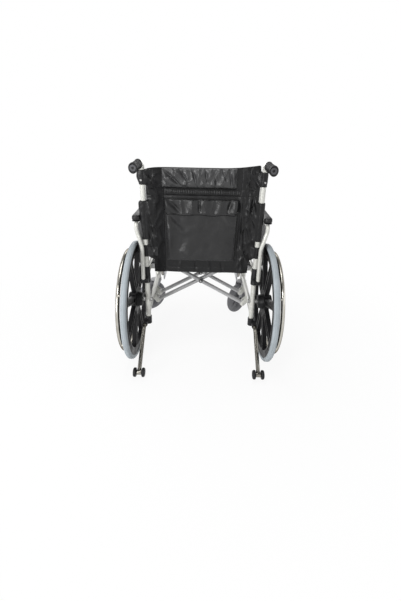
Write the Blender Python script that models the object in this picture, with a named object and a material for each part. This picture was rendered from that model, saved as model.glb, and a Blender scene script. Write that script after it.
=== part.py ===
# Folding wheelchair with a wide seat, seen at rest with its cross brace open.
# Metres. +X is the sitter's left, +Y is behind the chair and +Z is up.
# The origin is on the floor, under the middle of the whole chair's bounding box.

import math

import bmesh
import bpy
from mathutils import Matrix, Vector

for old in list(bpy.data.objects):
    bpy.data.objects.remove(old, do_unlink=True)

# Clearances
gap = 0.0003  # between solids that touch
slip = 0.0010  # beside a part that swings
plate_thickness = 0.004  # steel lugs and blades

# Side frames: welded tubes
frame_tube = 0.0127  # radius
frame_half_width = 0.274  # middle of the chair to the middle of a back cane
front_splay = 0.008  # the front posts stand this much further out
post_ahead = 0.480  # rear axle to front post
lower_rail_height = 0.240
cane_foot_height = 0.185
rake_height = 0.500  # where the canes start to lean back
rake_angle = math.radians(4.35)
cane_bend = 0.20  # radius of the bend where the lean starts
handle_height = 0.990  # at the tip; the handle is square to the leaning cane, so it drops towards the tip
handle_reach = 0.160  # cane top to the tip of the push handle
handle_splay = 0.006  # the tip stands this much further out
handle_bend = 0.035
grip_radius = 0.0165
grip_flange = 0.0182
grip_length = 0.100
grip_stretch = 1.22  # the grip's outside is taller than it is wide
post_above = 0.053  # upper frame rail up to the front post's top
head_tube_radius = 0.0175
head_tube_bottom = 0.2165
head_tube_top = 0.265

# Cross brace
brace_tube = 0.011  # radius of the arms and of the seat rails
brace_inset = 0.028  # brace pivots stand this far inside the canes
brace_pivot_height = 0.205
brace_centre_height = 0.342
rear_arm_ahead = 0.170
front_arm_ahead = 0.287
eye_radius = 0.015
eye_half_length = 0.012
pivot_pin = 0.004
cross_bolt = 0.004
cross_bolt_head = 0.008
bolt_head_thickness = 0.005
seat_rail_front = 0.455
seat_rail_rear = 0.035
saddle_width = 0.030
saddle_wall = 0.004
saddle_rise = 0.027  # upper frame rail up to the seat rails

# Rear wheels
wheel_radius = 0.305
wheel_offset = 0.064  # cane to the middle of the tyre
tyre_half_width = 0.014
tyre_height = 0.020
rim_half_width = 0.0125
rim_depth = 0.033
web_half_width = 0.0115
hub_radius = 0.042
hub_outer_half = 0.033
spoke_count = 8
spoke_width = 0.036
hub_flange = 0.024  # hub to the windows
rim_flange = 0.0035  # windows to the rim
handrim_drop = 0.0275  # rim's edge in to the handrim's middle line
handrim_tube = 0.0095
handrim_offset = 0.034  # tyre middle to handrim
handrim_post_count = 6
handrim_post_radius = 0.005
handrim_post_out = 0.0065  # the posts meet the handrim this far outside its middle line
axle_radius = 0.0062
axle_nut_radius = 0.011
axle_nut_thickness = 0.009
axle_jam_thickness = 0.014
wheel_steps = 36

# Casters
caster_radius = 0.100
caster_half_width = 0.016
caster_rim = 0.076
caster_hub = 0.017
caster_trail = 0.052
caster_axle = 0.005
caster_steps = 20
left_swivel = math.radians(55)
right_swivel = math.radians(40)
caster_overhang = 0.0285  # the left caster stands this far outside the handrims at rest
stem_radius = 0.006
stem_height = 0.036
crown_thickness = 0.008
blade_gap = 0.0035
blade_foot = 0.013

# Armrests
arm_tube = 0.0095
arm_leg_offset = 0.014  # rear leg, outboard of the cane
arm_offset = 0.038  # pad and top tube, outboard of the cane
arm_hinge_below = 0.027  # upper frame rail down to the hinge
arm_leg_clear = 0.0165  # least distance from the leaning cane back to the rear leg where its flare ends
arm_flare_low = 0.600
arm_flare_high = 0.690
arm_top_height = 0.722
arm_front_ahead = 0.315
arm_bend = 0.032
arm_foot_above = 0.0155  # upper frame rail up to the front leg's foot
knuckle_radius = 0.0125
knuckle_half_length = 0.010
pad_half_width = 0.0215
pad_height = 0.030
pad_rear_ahead = -0.046
pad_front_ahead = 0.345
panel_thickness = 0.003
panel_above = 0.038  # upper frame rail up to the side panel
panel_rear_ahead = 0.004
clamp_radius = 0.0175
rail_clamp_wall = 0.003  # of the armrest latch and the brake mount round their rail
clamp_below = 0.048  # upper frame rail down to the foot of the hinge's clamp
clamp_notch = 0.012  # and down to where the clamp narrows for the rail
clamp_above = 0.040  # and up to the clamp's top

# Brakes
brake_ahead = 0.395
brake_below = 0.012  # upper frame rail down to the lever's axis
brake_clear = 0.0112  # open shoe to the tyre
brake_shoe_below = 0.002
brake_shoe_radius = 0.008
brake_handle_ahead = 0.432
brake_handle_height = 0.600
brake_grip_radius = 0.009

# Anti-tip stabilisers
tip_tube = 0.0095
tip_offset = 0.014  # outboard of the cane
tip_socket_below = 0.005  # foot of the cane down to the stabiliser's axis
tip_collar_radius = 0.016
tip_collar_half = 0.022
tip_wheel_radius = 0.0225
tip_wheel_half = 0.008
tip_wheel_height = 0.040
tip_wheel_behind = 0.255
tip_axle = 0.003
tip_eye_radius = 0.0115
tip_eye_half = 0.011

# Footrests
hanger_tube = 0.011
hanger_ahead = 0.035  # front post to the hanger's swing axis
hanger_low = 0.300
hanger_top = 0.490
hanger_drop_ahead = 0.085  # swing axis to where the tube turns down
hanger_bend = 0.030
ring_width = 0.020
lower_ring_height = 0.330
upper_ring_height = 0.435
foot_height = 0.130
front_reach = 0.805  # rear axle to the front edge of the footplates
foot_run = 0.078  # level end of the hanger's tube
plate_depth = 0.150
plate_length = 0.165
footplate_thickness = 0.008
barrel_length = 0.040
barrel_wall = 0.004

# Upholstery
sling_thickness = 0.005
seat_front = 0.450
seat_back = 0.045
seat_sag = 0.014
back_thickness = 0.006
back_bottom = 0.465
back_drop = 0.018  # tip of the handle down to the back's top edge
back_narrow_half = 0.234
back_wide_above = 0.053  # top of the armrest's clamp up to the back's wide part
back_shoulder = 0.012  # height over which the back widens to the canes
back_edge_strip = 0.006  # flat strip beside each cane
back_roll = 0.092  # height of the folded band along the top
back_crown = 0.009  # the top edge rises this much in the middle
back_corner_rise = 0.022  # and this much towards the right cane
sleeve_wall = 0.0022
sleeve_sides = 14  # puts a corner of each sleeve in line with the cloth
sleeve_bands = ((0.84, 0.97), (0.22, 0.66), (0.01, 0.15))  # shares of the height above the wide part's foot
pocket_half_width = 0.169
pocket_bottom = 0.545
pocket_depth = 0.014
flap_drop = 0.035  # folded band down to the flap
flap_height = 0.073
flap_thickness = 0.006

# Worked out from the sizes above
axle_y = (front_reach - wheel_radius) / 2
rim_radius = wheel_radius - tyre_height
window_inner = hub_radius + hub_flange
window_outer = rim_radius - rim_depth - rim_flange
handrim_radius = rim_radius - handrim_drop
brace_half_span = frame_half_width - brace_inset
brace_rise = brace_centre_height - brace_pivot_height
seat_rail_height = brace_centre_height + brace_rise
arm_plane_step = 2 * brace_tube + slip
seat_frame_height = seat_rail_height - saddle_rise
post_top = seat_frame_height + post_above
arm_hinge_height = seat_frame_height - arm_hinge_below
arm_foot_height = seat_frame_height + arm_foot_above
panel_bottom = seat_frame_height + panel_above
clamp_low = seat_frame_height - clamp_below
clamp_high = seat_frame_height - clamp_notch
clamp_neck = seat_frame_height + clamp_above
brake_height = seat_frame_height - brake_below
brake_shoe_height = seat_frame_height - brake_shoe_below
brake_shoe_ahead = math.sqrt((wheel_radius + brake_clear + brake_shoe_radius) ** 2
                             - (brake_shoe_height - wheel_radius) ** 2)
corner_height = handle_height + handle_reach * math.sin(rake_angle)
cane_corner = (corner_height - rake_height) * math.tan(rake_angle)
handle_run = handle_reach * math.cos(rake_angle)
post_half_width = frame_half_width + front_splay
hanger_line_ahead = post_ahead + hanger_ahead
sleeve_bore = frame_tube + gap
tip_socket_height = cane_foot_height - tip_socket_below
back_top = handle_height - back_drop
back_wide_height = clamp_neck + back_wide_above
arm_hinge_behind = max(clamp_radius + knuckle_radius + slip,
                       arm_leg_clear + (arm_flare_high - rake_height) * math.tan(rake_angle))
back_reach = frame_half_width - frame_tube  # inner side of a cane
back_half_width = frame_half_width - sleeve_bore / math.cos(math.pi / sleeve_sides) - gap
flap_top = back_top - back_roll - flap_drop
pocket_top = flap_top - flap_height

rest_place = {}


def ahead(distance):
    """Y of a point this far in front of the rear axle."""
    return axle_y - distance


def cane_ahead_at(height):
    """How far behind the axle's upright the leaning cane stands at a height."""
    return max(0.0, height - rake_height) * math.tan(rake_angle)


def rail_half_width(distance):
    """X of the side rails at a distance ahead of the rear axle."""
    return frame_half_width + front_splay * distance / post_ahead


def finish(name, colour, metallic, roughness):
    material = bpy.data.materials.new(name)
    material.use_nodes = True
    shader = material.node_tree.nodes["Principled BSDF"]
    shader.inputs["Base Color"].default_value = (*colour, 1.0)
    shader.inputs["Metallic"].default_value = metallic
    shader.inputs["Roughness"].default_value = roughness
    return material


silver_paint = finish("silver painted steel tube", (0.62, 0.62, 0.60), 0.35, 0.35)
brace_paint = finish("grey painted steel tube", (0.47, 0.47, 0.48), 0.3, 0.4)
chrome = finish("chrome plated steel", (0.75, 0.74, 0.70), 1.0, 0.12)
zinc = finish("zinc plated steel", (0.65, 0.65, 0.66), 1.0, 0.35)
black_nylon = finish("black moulded nylon", (0.022, 0.022, 0.024), 0.0, 0.5)
black_rubber = finish("black rubber", (0.02, 0.02, 0.02), 0.0, 0.75)
grey_tyre = finish("blue-grey polyurethane tyre", (0.36, 0.40, 0.45), 0.0, 0.65)
caster_grey = finish("grey caster tyre", (0.25, 0.25, 0.28), 0.0, 0.65)
caster_plastic = finish("light grey moulded nylon", (0.42, 0.42, 0.43), 0.0, 0.5)
pad_vinyl = finish("black vinyl", (0.02, 0.02, 0.02), 0.0, 0.55)
black_cloth = finish("black nylon upholstery", (0.025, 0.025, 0.026), 0.0, 0.75)
grey_plate = finish("grey cast aluminium", (0.45, 0.45, 0.46), 0.8, 0.45)


def place_mesh(name, mesh, material):
    mesh.materials.clear()
    mesh.materials.append(material)
    mesh.shade_smooth()
    mesh.set_sharp_from_angle(angle=math.radians(35))
    piece = bpy.data.objects.new(name, mesh)
    bpy.context.scene.collection.objects.link(piece)
    return piece


def from_bmesh(name, shape, material):
    bmesh.ops.remove_doubles(shape, verts=shape.verts, dist=0.000002)
    bmesh.ops.recalc_face_normals(shape, faces=shape.faces)
    mesh = bpy.data.meshes.new(name)
    shape.to_mesh(mesh)
    shape.free()
    return place_mesh(name, mesh, material)


def bend_path(corners, radius, steps=4):
    """The corners of a tube's route, each inner one turned into an arc."""
    corners = [Vector(c) for c in corners]
    path = [corners[0]]
    for before, corner, after in zip(corners, corners[1:], corners[2:]):
        back = (before - corner).normalized()
        on = (after - corner).normalized()
        half = back.angle(on) / 2
        reach = radius / math.tan(half)
        centre = corner + (back + on).normalized() * radius / math.sin(half)
        start = corner + back * reach - centre
        turn = math.pi - 2 * half
        pivot = back.cross(on).normalized()
        for i in range(steps + 1):
            path.append(centre + Matrix.Rotation(-turn * i / steps, 3, pivot) @ start)
    path.append(corners[-1])
    return path


def tube(name, path, radius, material, sides=16):
    """A round bar swept along a path, with flat ends."""
    curve = bpy.data.curves.new(name, "CURVE")
    curve.dimensions = "3D"
    curve.bevel_depth = radius
    curve.bevel_resolution = (sides - 4) // 2
    curve.use_fill_caps = True
    spline = curve.splines.new("POLY")
    spline.points.add(len(path) - 1)
    for point, place in zip(spline.points, path):
        point.co = (*place, 1.0)
    guide = bpy.data.objects.new(name + "_path", curve)
    bpy.context.scene.collection.objects.link(guide)
    bpy.context.view_layer.update()
    swept = bpy.data.meshes.new_from_object(guide.evaluated_get(bpy.context.evaluated_depsgraph_get()))
    bpy.data.objects.remove(guide, do_unlink=True)
    shape = bmesh.new()
    shape.from_mesh(swept)
    return from_bmesh(name, shape, material)


def turned(name, profile, centre, axis, steps, material, flats=False):
    """Turn a profile of (radius, along) points about an axis through centre.

    With flats, the flat sides lie at the stated radius instead of the corners.
    """
    axis = Vector(axis).normalized()
    down = Vector((0, 0, -1)) if abs(axis.z) < 0.9 else Vector((0, 1, 0))
    square = (down - axis * down.dot(axis)).normalized()
    out = Matrix.Rotation(math.pi / steps, 3, axis) @ square
    grow = 1 / math.cos(math.pi / steps) if flats else 1.0
    shape = bmesh.new()
    corners = [shape.verts.new(Vector(centre) + out * r * grow + axis * a) for r, a in profile]
    edges = [shape.edges.new(pair) for pair in zip(corners, corners[1:])]
    if profile[0][0] > 0 and profile[-1][0] > 0:
        edges.append(shape.edges.new((corners[-1], corners[0])))
    bmesh.ops.spin(
        shape, geom=corners + edges, cent=centre, axis=axis, dvec=(0, 0, 0),
        angle=2 * math.pi, steps=steps, use_merge=True,
    )
    return from_bmesh(name, shape, material)


def rod(name, start, end, radius, material, steps=12, flats=False):
    """A plain cylinder between two points."""
    start = Vector(start)
    along = Vector(end) - start
    profile = ((0, 0), (radius, 0), (radius, along.length), (0, along.length))
    return turned(name, profile, start, along, steps, material, flats)


PLANES = {
    "YZ": lambda a, b, level: (level, a, b),
    "XZ": lambda a, b, level: (a, level, b),
    "XY": lambda a, b, level: (a, b, level),
}


def slab(name, outline, plane, low, high, material):
    return slabs(name, [outline], plane, low, high, material)


def slabs(name, outlines, plane, low, high, material):
    """Outlines in a plane, each given thickness from low to high across it."""
    to_space = PLANES[plane]
    shape = bmesh.new()
    bases = []
    for outline in outlines:
        bases.append(shape.faces.new([shape.verts.new(to_space(a, b, low)) for a, b in outline]))
    pushed = bmesh.ops.extrude_face_region(shape, geom=bases)["geom"]
    moved = [v for v in pushed if isinstance(v, bmesh.types.BMVert)]
    bmesh.ops.translate(shape, verts=moved, vec=Vector(to_space(0, 0, high)) - Vector(to_space(0, 0, low)))
    return from_bmesh(name, shape, material)


def rounded_bar(first, first_radius, second, second_radius, steps=5):
    """Outline of a bar with round ends, as (a, b) points."""
    angle = math.atan2(second[1] - first[1], second[0] - first[0])
    outline = []
    for centre, radius, start in (
        (first, first_radius, angle + math.pi / 2),
        (second, second_radius, angle - math.pi / 2),
    ):
        for i in range(steps + 1):
            turn = start + math.pi * i / steps
            outline.append((centre[0] + radius * math.cos(turn), centre[1] + radius * math.sin(turn)))
    return outline


def box_outline(a0, a1, b0, b1):
    return [(a0, b0), (a1, b0), (a1, b1), (a0, b1)]


def joined(piece, *others):
    for other in others:
        combine(piece, other, "UNION")
    return piece


def without(piece, *cutters):
    for cutter in cutters:
        combine(piece, cutter, "DIFFERENCE")
    return piece


def combine(piece, other, operation):
    change = piece.modifiers.new(operation.lower(), "BOOLEAN")
    change.operation = operation
    change.solver = "EXACT"
    change.object = other
    other.hide_render = True
    other.display_type = "WIRE"


def pivot(name, place, parent=None):
    """An empty on a joint's axis, which carries the pieces that move with it."""
    empty = bpy.data.objects.new(name, None)
    bpy.context.scene.collection.objects.link(empty)
    empty.location = place
    rest_place[name] = Vector(place)
    if parent:
        carry(parent, empty)
    return empty


def carry(parent, *pieces):
    for piece in pieces:
        piece.parent = parent
        piece.matrix_parent_inverse = Matrix.Translation(-rest_place[parent.name])
        for change in getattr(piece, "modifiers", ()):
            if change.type == "BOOLEAN":
                carry(parent, change.object)


def cane_cutter(name, x):
    """The space that a back cane and its clearance take."""
    path = cane_path(x)
    return tube(name, [Vector((x, axle_y, cane_foot_height - 0.05)), *path[1:]],
                (frame_tube + gap) / math.cos(math.pi / 16), silver_paint)


def cane_path(x):
    corners = (
        Vector((x, axle_y, cane_foot_height)),
        Vector((x, axle_y, rake_height)),
        Vector((x, axle_y + cane_corner, corner_height)),
        handle_tip(x),
    )
    lean = bend_path(corners[:3], cane_bend, 2)
    top = bend_path((lean[-2], corners[2], corners[3]), handle_bend, 6)
    return lean[:-1] + top[1:]


def handle_tip(x):
    return Vector((x + math.copysign(handle_splay, x), axle_y + cane_corner + handle_run, handle_height))


def rail_cutter(name, side, height):
    rear = (side * frame_half_width, axle_y, height)
    front = (side * post_half_width, ahead(post_ahead), height)
    return rod(name, rear, front, frame_tube + gap, silver_paint, 16, flats=True)


def post_cutter(name, side, radius):
    x = side * post_half_width
    low = (x, ahead(post_ahead), head_tube_bottom)
    high = (x, ahead(post_ahead), post_top)
    return rod(name, low, high, radius + gap, silver_paint, 16, flats=True)


def side_rail(name, side, height, post_radius):
    rail = rod(name, (side * frame_half_width, axle_y, height),
               (side * post_half_width, ahead(post_ahead), height), frame_tube, silver_paint, 16)
    return without(rail, cane_cutter(name + "_cane_cope", side * frame_half_width),
                   post_cutter(name + "_post_cope", side, post_radius))


def back_cane(side, label):
    x = side * frame_half_width
    cane = tube(label + "_back_cane", cane_path(x), frame_tube, silver_paint)
    reach = Vector((side * 0.05, 0, 0))
    middle = Vector((x, axle_y, wheel_radius))
    bore = rod(label + "_cane_bore", middle - reach, middle + reach, axle_radius + gap, zinc, 12, flats=True)
    return without(cane, bore)


def handle_grip(side, label):
    inner = frame_tube + gap
    waist = grip_radius
    rings = 4
    first_ring = 0.012
    last_ring = grip_length - 0.016
    profile = [(inner, 0.0), (grip_flange, 0.0), (grip_flange, 0.006)]
    for i in range(rings):
        along = first_ring + (last_ring - first_ring) * i / (rings - 1)
        profile.append((waist - 0.0008, along - 0.004))
        profile.append((waist, along))
    end = 0.004
    profile += [
        (grip_flange, grip_length - 0.011), (grip_flange, grip_length - 0.002),
        (grip_flange - 0.002, grip_length), (0, grip_length), (0, grip_length - end), (inner, grip_length - end),
    ]
    x = side * frame_half_width
    along = (handle_tip(x) - Vector((x, axle_y + cane_corner, corner_height))).normalized()
    base = handle_tip(x) + along * (end + gap - grip_length)
    grip = turned(label + "_handle_grip", closed_on_axis(profile), base, along, 16, black_rubber, flats=True)
    up = (Vector((0, 0, 1)) - along * along.z).normalized()
    for corner in grip.data.vertices:
        out = corner.co - base
        out -= along * out.dot(along)
        if out.length > (inner + grip_radius) / 2:
            corner.co += up * out.dot(up) * (grip_stretch - 1)
    return grip


def closed_on_axis(profile):
    """Rotate a loop that touches the axis so that it starts and ends there."""
    on_axis = [i for i, (radius, _) in enumerate(profile) if radius == 0]
    first = on_axis[-1]
    return profile[first:] + profile[:first]


def front_post(side, label):
    x = side * post_half_width
    place = (x, ahead(post_ahead), 0)
    bore = stem_radius + gap
    bore_top = head_tube_bottom + stem_height
    profile = (
        (0, bore_top), (bore, bore_top), (bore, head_tube_bottom), (head_tube_radius, head_tube_bottom),
        (head_tube_radius, head_tube_top), (frame_tube, head_tube_top + 0.004), (frame_tube, post_top),
        (frame_tube - 0.002, post_top + 0.002), (0, post_top + 0.002),
    )
    post = turned(label + "_front_post", profile, place, (0, 0, 1), 16, silver_paint)
    swing_y = ahead(hanger_line_ahead)
    ring_radius = hanger_tube + gap + plate_thickness
    for i, height in enumerate((lower_ring_height, upper_ring_height)):
        outline = rounded_bar((x, ahead(post_ahead)), frame_tube - 0.002, (x, swing_y), ring_radius, 6)
        lug = slab(f"{label}_hanger_lug_{i}", outline, "XY", height, height + ring_width, silver_paint)
        joined(post, lug)
    hole = rod(label + "_hanger_hole", (x, swing_y, hanger_low), (x, swing_y, hanger_top),
               hanger_tube + gap, silver_paint, 12, flats=True)
    return without(post, hole)


def arm_ahead(place, foot_side):
    """The arms with a right foot are the outer ones: first from the rear and last in front."""
    if place == "rear":
        return rear_arm_ahead + (arm_plane_step if foot_side > 0 else 0)
    return front_arm_ahead + (0 if foot_side > 0 else arm_plane_step)


def pivot_lug(name, side, distance, low, high):
    """One plate that hangs from the lower rail and holds a brace pivot."""
    outline = rounded_bar((side * rail_half_width(distance), lower_rail_height), 0.0115,
                          (side * brace_half_span, brace_pivot_height), eye_radius - 0.001)
    return slab(name, outline, "XZ", ahead(distance) + low, ahead(distance) + high, silver_paint)


def lower_rail(side, label):
    rail = side_rail(label + "_lower_rail", side, lower_rail_height, head_tube_radius)
    inner = eye_half_length + gap
    outer = inner + plate_thickness
    for place in ("rear", "front"):
        distance = arm_ahead(place, side)
        tag = f"{label}_{place}_brace"
        joined(rail, pivot_lug(tag + "_lug_a", side, distance, -outer, -inner),
               pivot_lug(tag + "_lug_b", side, distance, inner, outer))
        head = outer + 0.003
        x = side * brace_half_span
        profile = ((0, -head), (0.007, -head), (0.007, -outer + 0.001), (pivot_pin, -outer + 0.001),
                   (pivot_pin, outer - 0.001), (0.007, outer - 0.001), (0.007, head), (0, head))
        place_of_pin = (x, ahead(distance), brace_pivot_height)
        joined(rail, turned(tag + "_pin", profile, place_of_pin, (0, 1, 0), 10, zinc))
    return rail


def seat_frame_rail(side, label):
    rail = side_rail(label + "_seat_frame_rail", side, seat_frame_height, frame_tube)
    seat_x = side * brace_half_span
    for place, distance in (("rear", 0.100), ("front", 0.352)):
        inner_x = seat_x - side * (brace_tube + gap + saddle_wall)
        outer_x = side * rail_half_width(distance)
        top = seat_rail_height - slip
        foot = seat_frame_height - 0.008
        outline = [(inner_x, top), (inner_x, foot + 0.012), (inner_x + side * 0.010, foot), (outer_x, foot),
                   (outer_x, seat_frame_height + 0.010), (seat_x + side * (brace_tube + saddle_wall), top)]
        saddle = slab(f"{label}_{place}_saddle", outline, "XZ", ahead(distance) - saddle_width / 2,
                      ahead(distance) + saddle_width / 2, silver_paint)
        joined(rail, saddle)
    cradle = rod(label + "_saddle_cradle", (seat_x, ahead(0.08) + 0.05, seat_rail_height),
                 (seat_x, ahead(0.44), seat_rail_height), brace_tube + gap, silver_paint, 16, flats=True)
    return without(rail, cradle)


def rear_axle(side, label):
    inner = frame_tube + gap + axle_nut_thickness
    jam = frame_tube + gap
    hub_end = wheel_offset + hub_outer_half + gap
    jam_end = jam + axle_jam_thickness
    profile = (
        (0, -inner), (axle_nut_radius, -inner), (axle_nut_radius, -jam), (axle_radius, -jam),
        (axle_radius, jam), (axle_nut_radius, jam), (axle_nut_radius, jam_end), (axle_radius, jam_end),
        (axle_radius, hub_end), (axle_nut_radius, hub_end), (axle_nut_radius - 0.003, hub_end + 0.006),
        (0, hub_end + 0.006),
    )
    place = (side * frame_half_width, axle_y, wheel_radius)
    return turned(label + "_rear_axle", profile, place, (side, 0, 0), 12, zinc)


def window_outline(index):
    """One opening between two spokes, as (y, z) points; the first lies straight behind the axle."""
    step = 2 * math.pi / spoke_count
    middle = step * index
    outline = []
    for radius, direction in ((window_inner, 1), (window_outer, -1)):
        half = step / 2 - math.asin((spoke_width / 2) / radius)
        count = 1 if radius == window_inner else 4
        for i in range(count + 1):
            turn = middle + direction * half * (2 * i / count - 1)
            outline.append((axle_y + radius * math.cos(turn), wheel_radius + radius * math.sin(turn)))
    return outline


def rear_wheel(side, label):
    middle = side * (frame_half_width + wheel_offset)
    centre = (middle, axle_y, wheel_radius)
    bore = axle_radius + gap
    hub_inner = wheel_offset - frame_tube - gap - axle_jam_thickness - gap
    web = web_half_width
    rim_inside = rim_radius - rim_depth
    rim = rim_half_width
    profile = (
        (bore, -hub_inner), (hub_radius - 0.010, -hub_inner), (hub_radius, -web), (rim_inside, -web),
        (rim_inside + 0.006, -rim), (rim_radius, -rim), (rim_radius, rim), (rim_inside + 0.006, rim),
        (rim_inside, web), (hub_radius, web), (hub_radius - 0.006, hub_outer_half), (bore, hub_outer_half),
    )
    wheel = turned(label + "_rear_wheel", profile, centre, (side, 0, 0), wheel_steps, black_nylon, flats=True)
    reach = rim_half_width + 0.02
    outlines = [window_outline(i) for i in range(spoke_count)]
    windows = slabs(label + "_wheel_windows", outlines, "YZ", middle - reach, middle + reach, black_nylon)
    without(wheel, windows)
    seat = rim_radius + gap
    tyre_profile = (
        (seat, -rim_half_width), (seat, rim_half_width), (seat + 0.006, tyre_half_width),
        (wheel_radius - 0.006, tyre_half_width - 0.002), (wheel_radius, 0.006), (wheel_radius, -0.006),
        (wheel_radius - 0.006, -tyre_half_width + 0.002), (seat + 0.006, -tyre_half_width),
    )
    tyre = turned(label + "_tyre", tyre_profile, centre, (side, 0, 0), wheel_steps, grey_tyre, flats=True)
    return wheel, tyre


def handrim(side, label):
    plane = side * (frame_half_width + wheel_offset + handrim_offset)
    centre = Vector((plane, axle_y, wheel_radius))
    sides = 8
    profile = []
    for i in range(sides):
        turn = 2 * math.pi * i / sides
        profile.append((handrim_radius + handrim_tube * math.cos(turn), handrim_tube * math.sin(turn)))
    ring = turned(label + "_handrim", profile, centre, (side, 0, 0), wheel_steps, chrome, flats=True)
    post_ring = handrim_radius + handrim_post_out
    start = side * (rim_half_width + gap - handrim_offset)
    end = side * -handrim_post_radius / 2
    for i in range(handrim_post_count):
        turn = 2 * math.pi * (i + 0.5) / handrim_post_count
        spot = centre + Vector((0, math.cos(turn), math.sin(turn))) * post_ring
        post = rod(f"{label}_handrim_post_{i}", spot + Vector((start, 0, 0)), spot + Vector((end, 0, 0)),
                   handrim_post_radius, chrome, 8)
        joined(ring, post)
    return ring


def caster_fork(side, label):
    x = side * post_half_width
    y = ahead(post_ahead)
    wheel_y = y + caster_trail
    inner = caster_half_width + blade_gap
    outer = inner + plate_thickness
    crown_high = head_tube_bottom - gap
    crown_low = crown_high - crown_thickness
    crown_outline = rounded_bar((x, y), 0.020, (x, y + 0.030), outer, 6)
    fork = slab(label + "_caster_fork", crown_outline, "XY", crown_low, crown_high, caster_plastic)
    stem = rod(label + "_fork_stem", (x, y, crown_low + 0.001), (x, y, head_tube_bottom + stem_height - slip),
               stem_radius, zinc)
    joined(fork, stem)
    for tag, near in (("inner", -outer), ("outer", inner)):
        outline = [(y - 0.012, crown_low + 0.002), (y + 0.044, crown_low + 0.002)]
        foot = []
        for i in range(7):
            turn = math.radians(20 - 220 * i / 6)
            foot.append((wheel_y + blade_foot * math.cos(turn), caster_radius + blade_foot * math.sin(turn)))
        blade = slab(f"{label}_fork_{tag}_blade", outline + foot, "YZ", x + near, x + near + plate_thickness,
                     caster_plastic)
        joined(fork, blade)
    head = outer + 0.004
    profile = ((0, -head), (0.008, -head), (0.008, -outer + 0.001), (caster_axle, -outer + 0.001),
               (caster_axle, outer - 0.001), (0.008, outer - 0.001), (0.008, head), (0, head))
    joined(fork, turned(label + "_caster_axle", profile, (x, wheel_y, caster_radius), (1, 0, 0), 12, zinc))
    return fork


def caster_wheel(side, label):
    centre = (side * post_half_width, ahead(post_ahead) + caster_trail, caster_radius)
    bore = caster_axle + gap
    hub = caster_half_width + blade_gap - slip
    rim = caster_half_width - 0.003
    profile = (
        (bore, -hub), (caster_hub, -hub), (caster_hub + 0.004, -0.005), (caster_rim - 0.012, -0.005),
        (caster_rim, -rim), (caster_rim, rim), (caster_rim - 0.012, 0.005), (caster_hub + 0.004, 0.005),
        (caster_hub, hub), (bore, hub),
    )
    wheel = turned(label + "_caster_wheel", profile, centre, (1, 0, 0), caster_steps, caster_plastic, flats=True)
    seat = caster_rim + gap
    width = caster_half_width
    tyre_profile = ((seat, -rim), (seat, rim), (seat + 0.006, width), (caster_radius - 0.006, width - 0.002),
                    (caster_radius, 0.006), (caster_radius, -0.006), (caster_radius - 0.006, -width + 0.002),
                    (seat + 0.006, -width))
    tyre = turned(label + "_caster_tyre", tyre_profile, centre, (1, 0, 0), caster_steps, caster_grey, flats=True)
    return wheel, tyre


def armrest_hinge(side, label):
    """The black clamp on the cane that the armrest's rear leg turns on."""
    x = side * frame_half_width
    pin_y = axle_y + arm_hinge_behind
    profile = (
        (0, clamp_low), (clamp_radius, clamp_low), (clamp_radius, clamp_high),
        (frame_tube + gap + 0.002, clamp_neck), (0, clamp_neck),
    )
    clamp = turned(label + "_armrest_hinge", profile, (x, axle_y, 0), (0, 0, 1), 16, black_nylon)
    inner = x + side * (arm_leg_offset - knuckle_half_length - gap)
    ear_outline = rounded_bar((axle_y + 0.004, arm_hinge_height), 0.0135, (pin_y, arm_hinge_height), 0.0135)
    ear_low, ear_high = sorted((inner, inner - side * 0.014))
    joined(clamp, slab(label + "_hinge_ear", ear_outline, "YZ", ear_low, ear_high, black_nylon))
    outer = arm_leg_offset + knuckle_half_length + gap
    pin_start = arm_leg_offset - knuckle_half_length - 0.004
    pin_profile = ((0, pin_start), (pivot_pin, pin_start), (pivot_pin, outer), (0.007, outer),
                   (0.007, outer + 0.003), (0, outer + 0.003))
    pin_place = (x, pin_y, arm_hinge_height)
    joined(clamp, turned(label + "_hinge_pin", pin_profile, pin_place, (side, 0, 0), 12, zinc))
    return without(clamp, cane_cutter(label + "_hinge_bore", x),
                   rail_cutter(label + "_hinge_notch", side, seat_frame_height))


def armrest_frame(side, label):
    leg_x = side * (frame_half_width + arm_leg_offset)
    top_x = side * (frame_half_width + arm_offset)
    rear_y = axle_y + arm_hinge_behind
    front_y = ahead(arm_front_ahead)
    legs = bend_path(((leg_x, rear_y, arm_hinge_height), (leg_x, rear_y, arm_flare_low),
                      (top_x, rear_y, arm_flare_high), (top_x, rear_y, arm_top_height + 0.05)), 0.05, 1)
    bow = bend_path((legs[-2], (top_x, rear_y, arm_top_height), (top_x, front_y, arm_top_height),
                     (top_x, front_y, arm_foot_height)), arm_bend, 4)
    frame = tube(label + "_armrest_frame", legs[:-1] + bow[1:], arm_tube, silver_paint, 12)
    low = Vector((leg_x - knuckle_half_length, rear_y, arm_hinge_height))
    high = Vector((leg_x + knuckle_half_length, rear_y, arm_hinge_height))
    reach = Vector((0.01, 0, 0))
    joined(frame, rod(label + "_armrest_knuckle", low, high, knuckle_radius, black_nylon, 16))
    bore = rod(label + "_knuckle_bore", low - reach, high + reach, pivot_pin + gap, zinc, 12, flats=True)
    return without(frame, bore)


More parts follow.
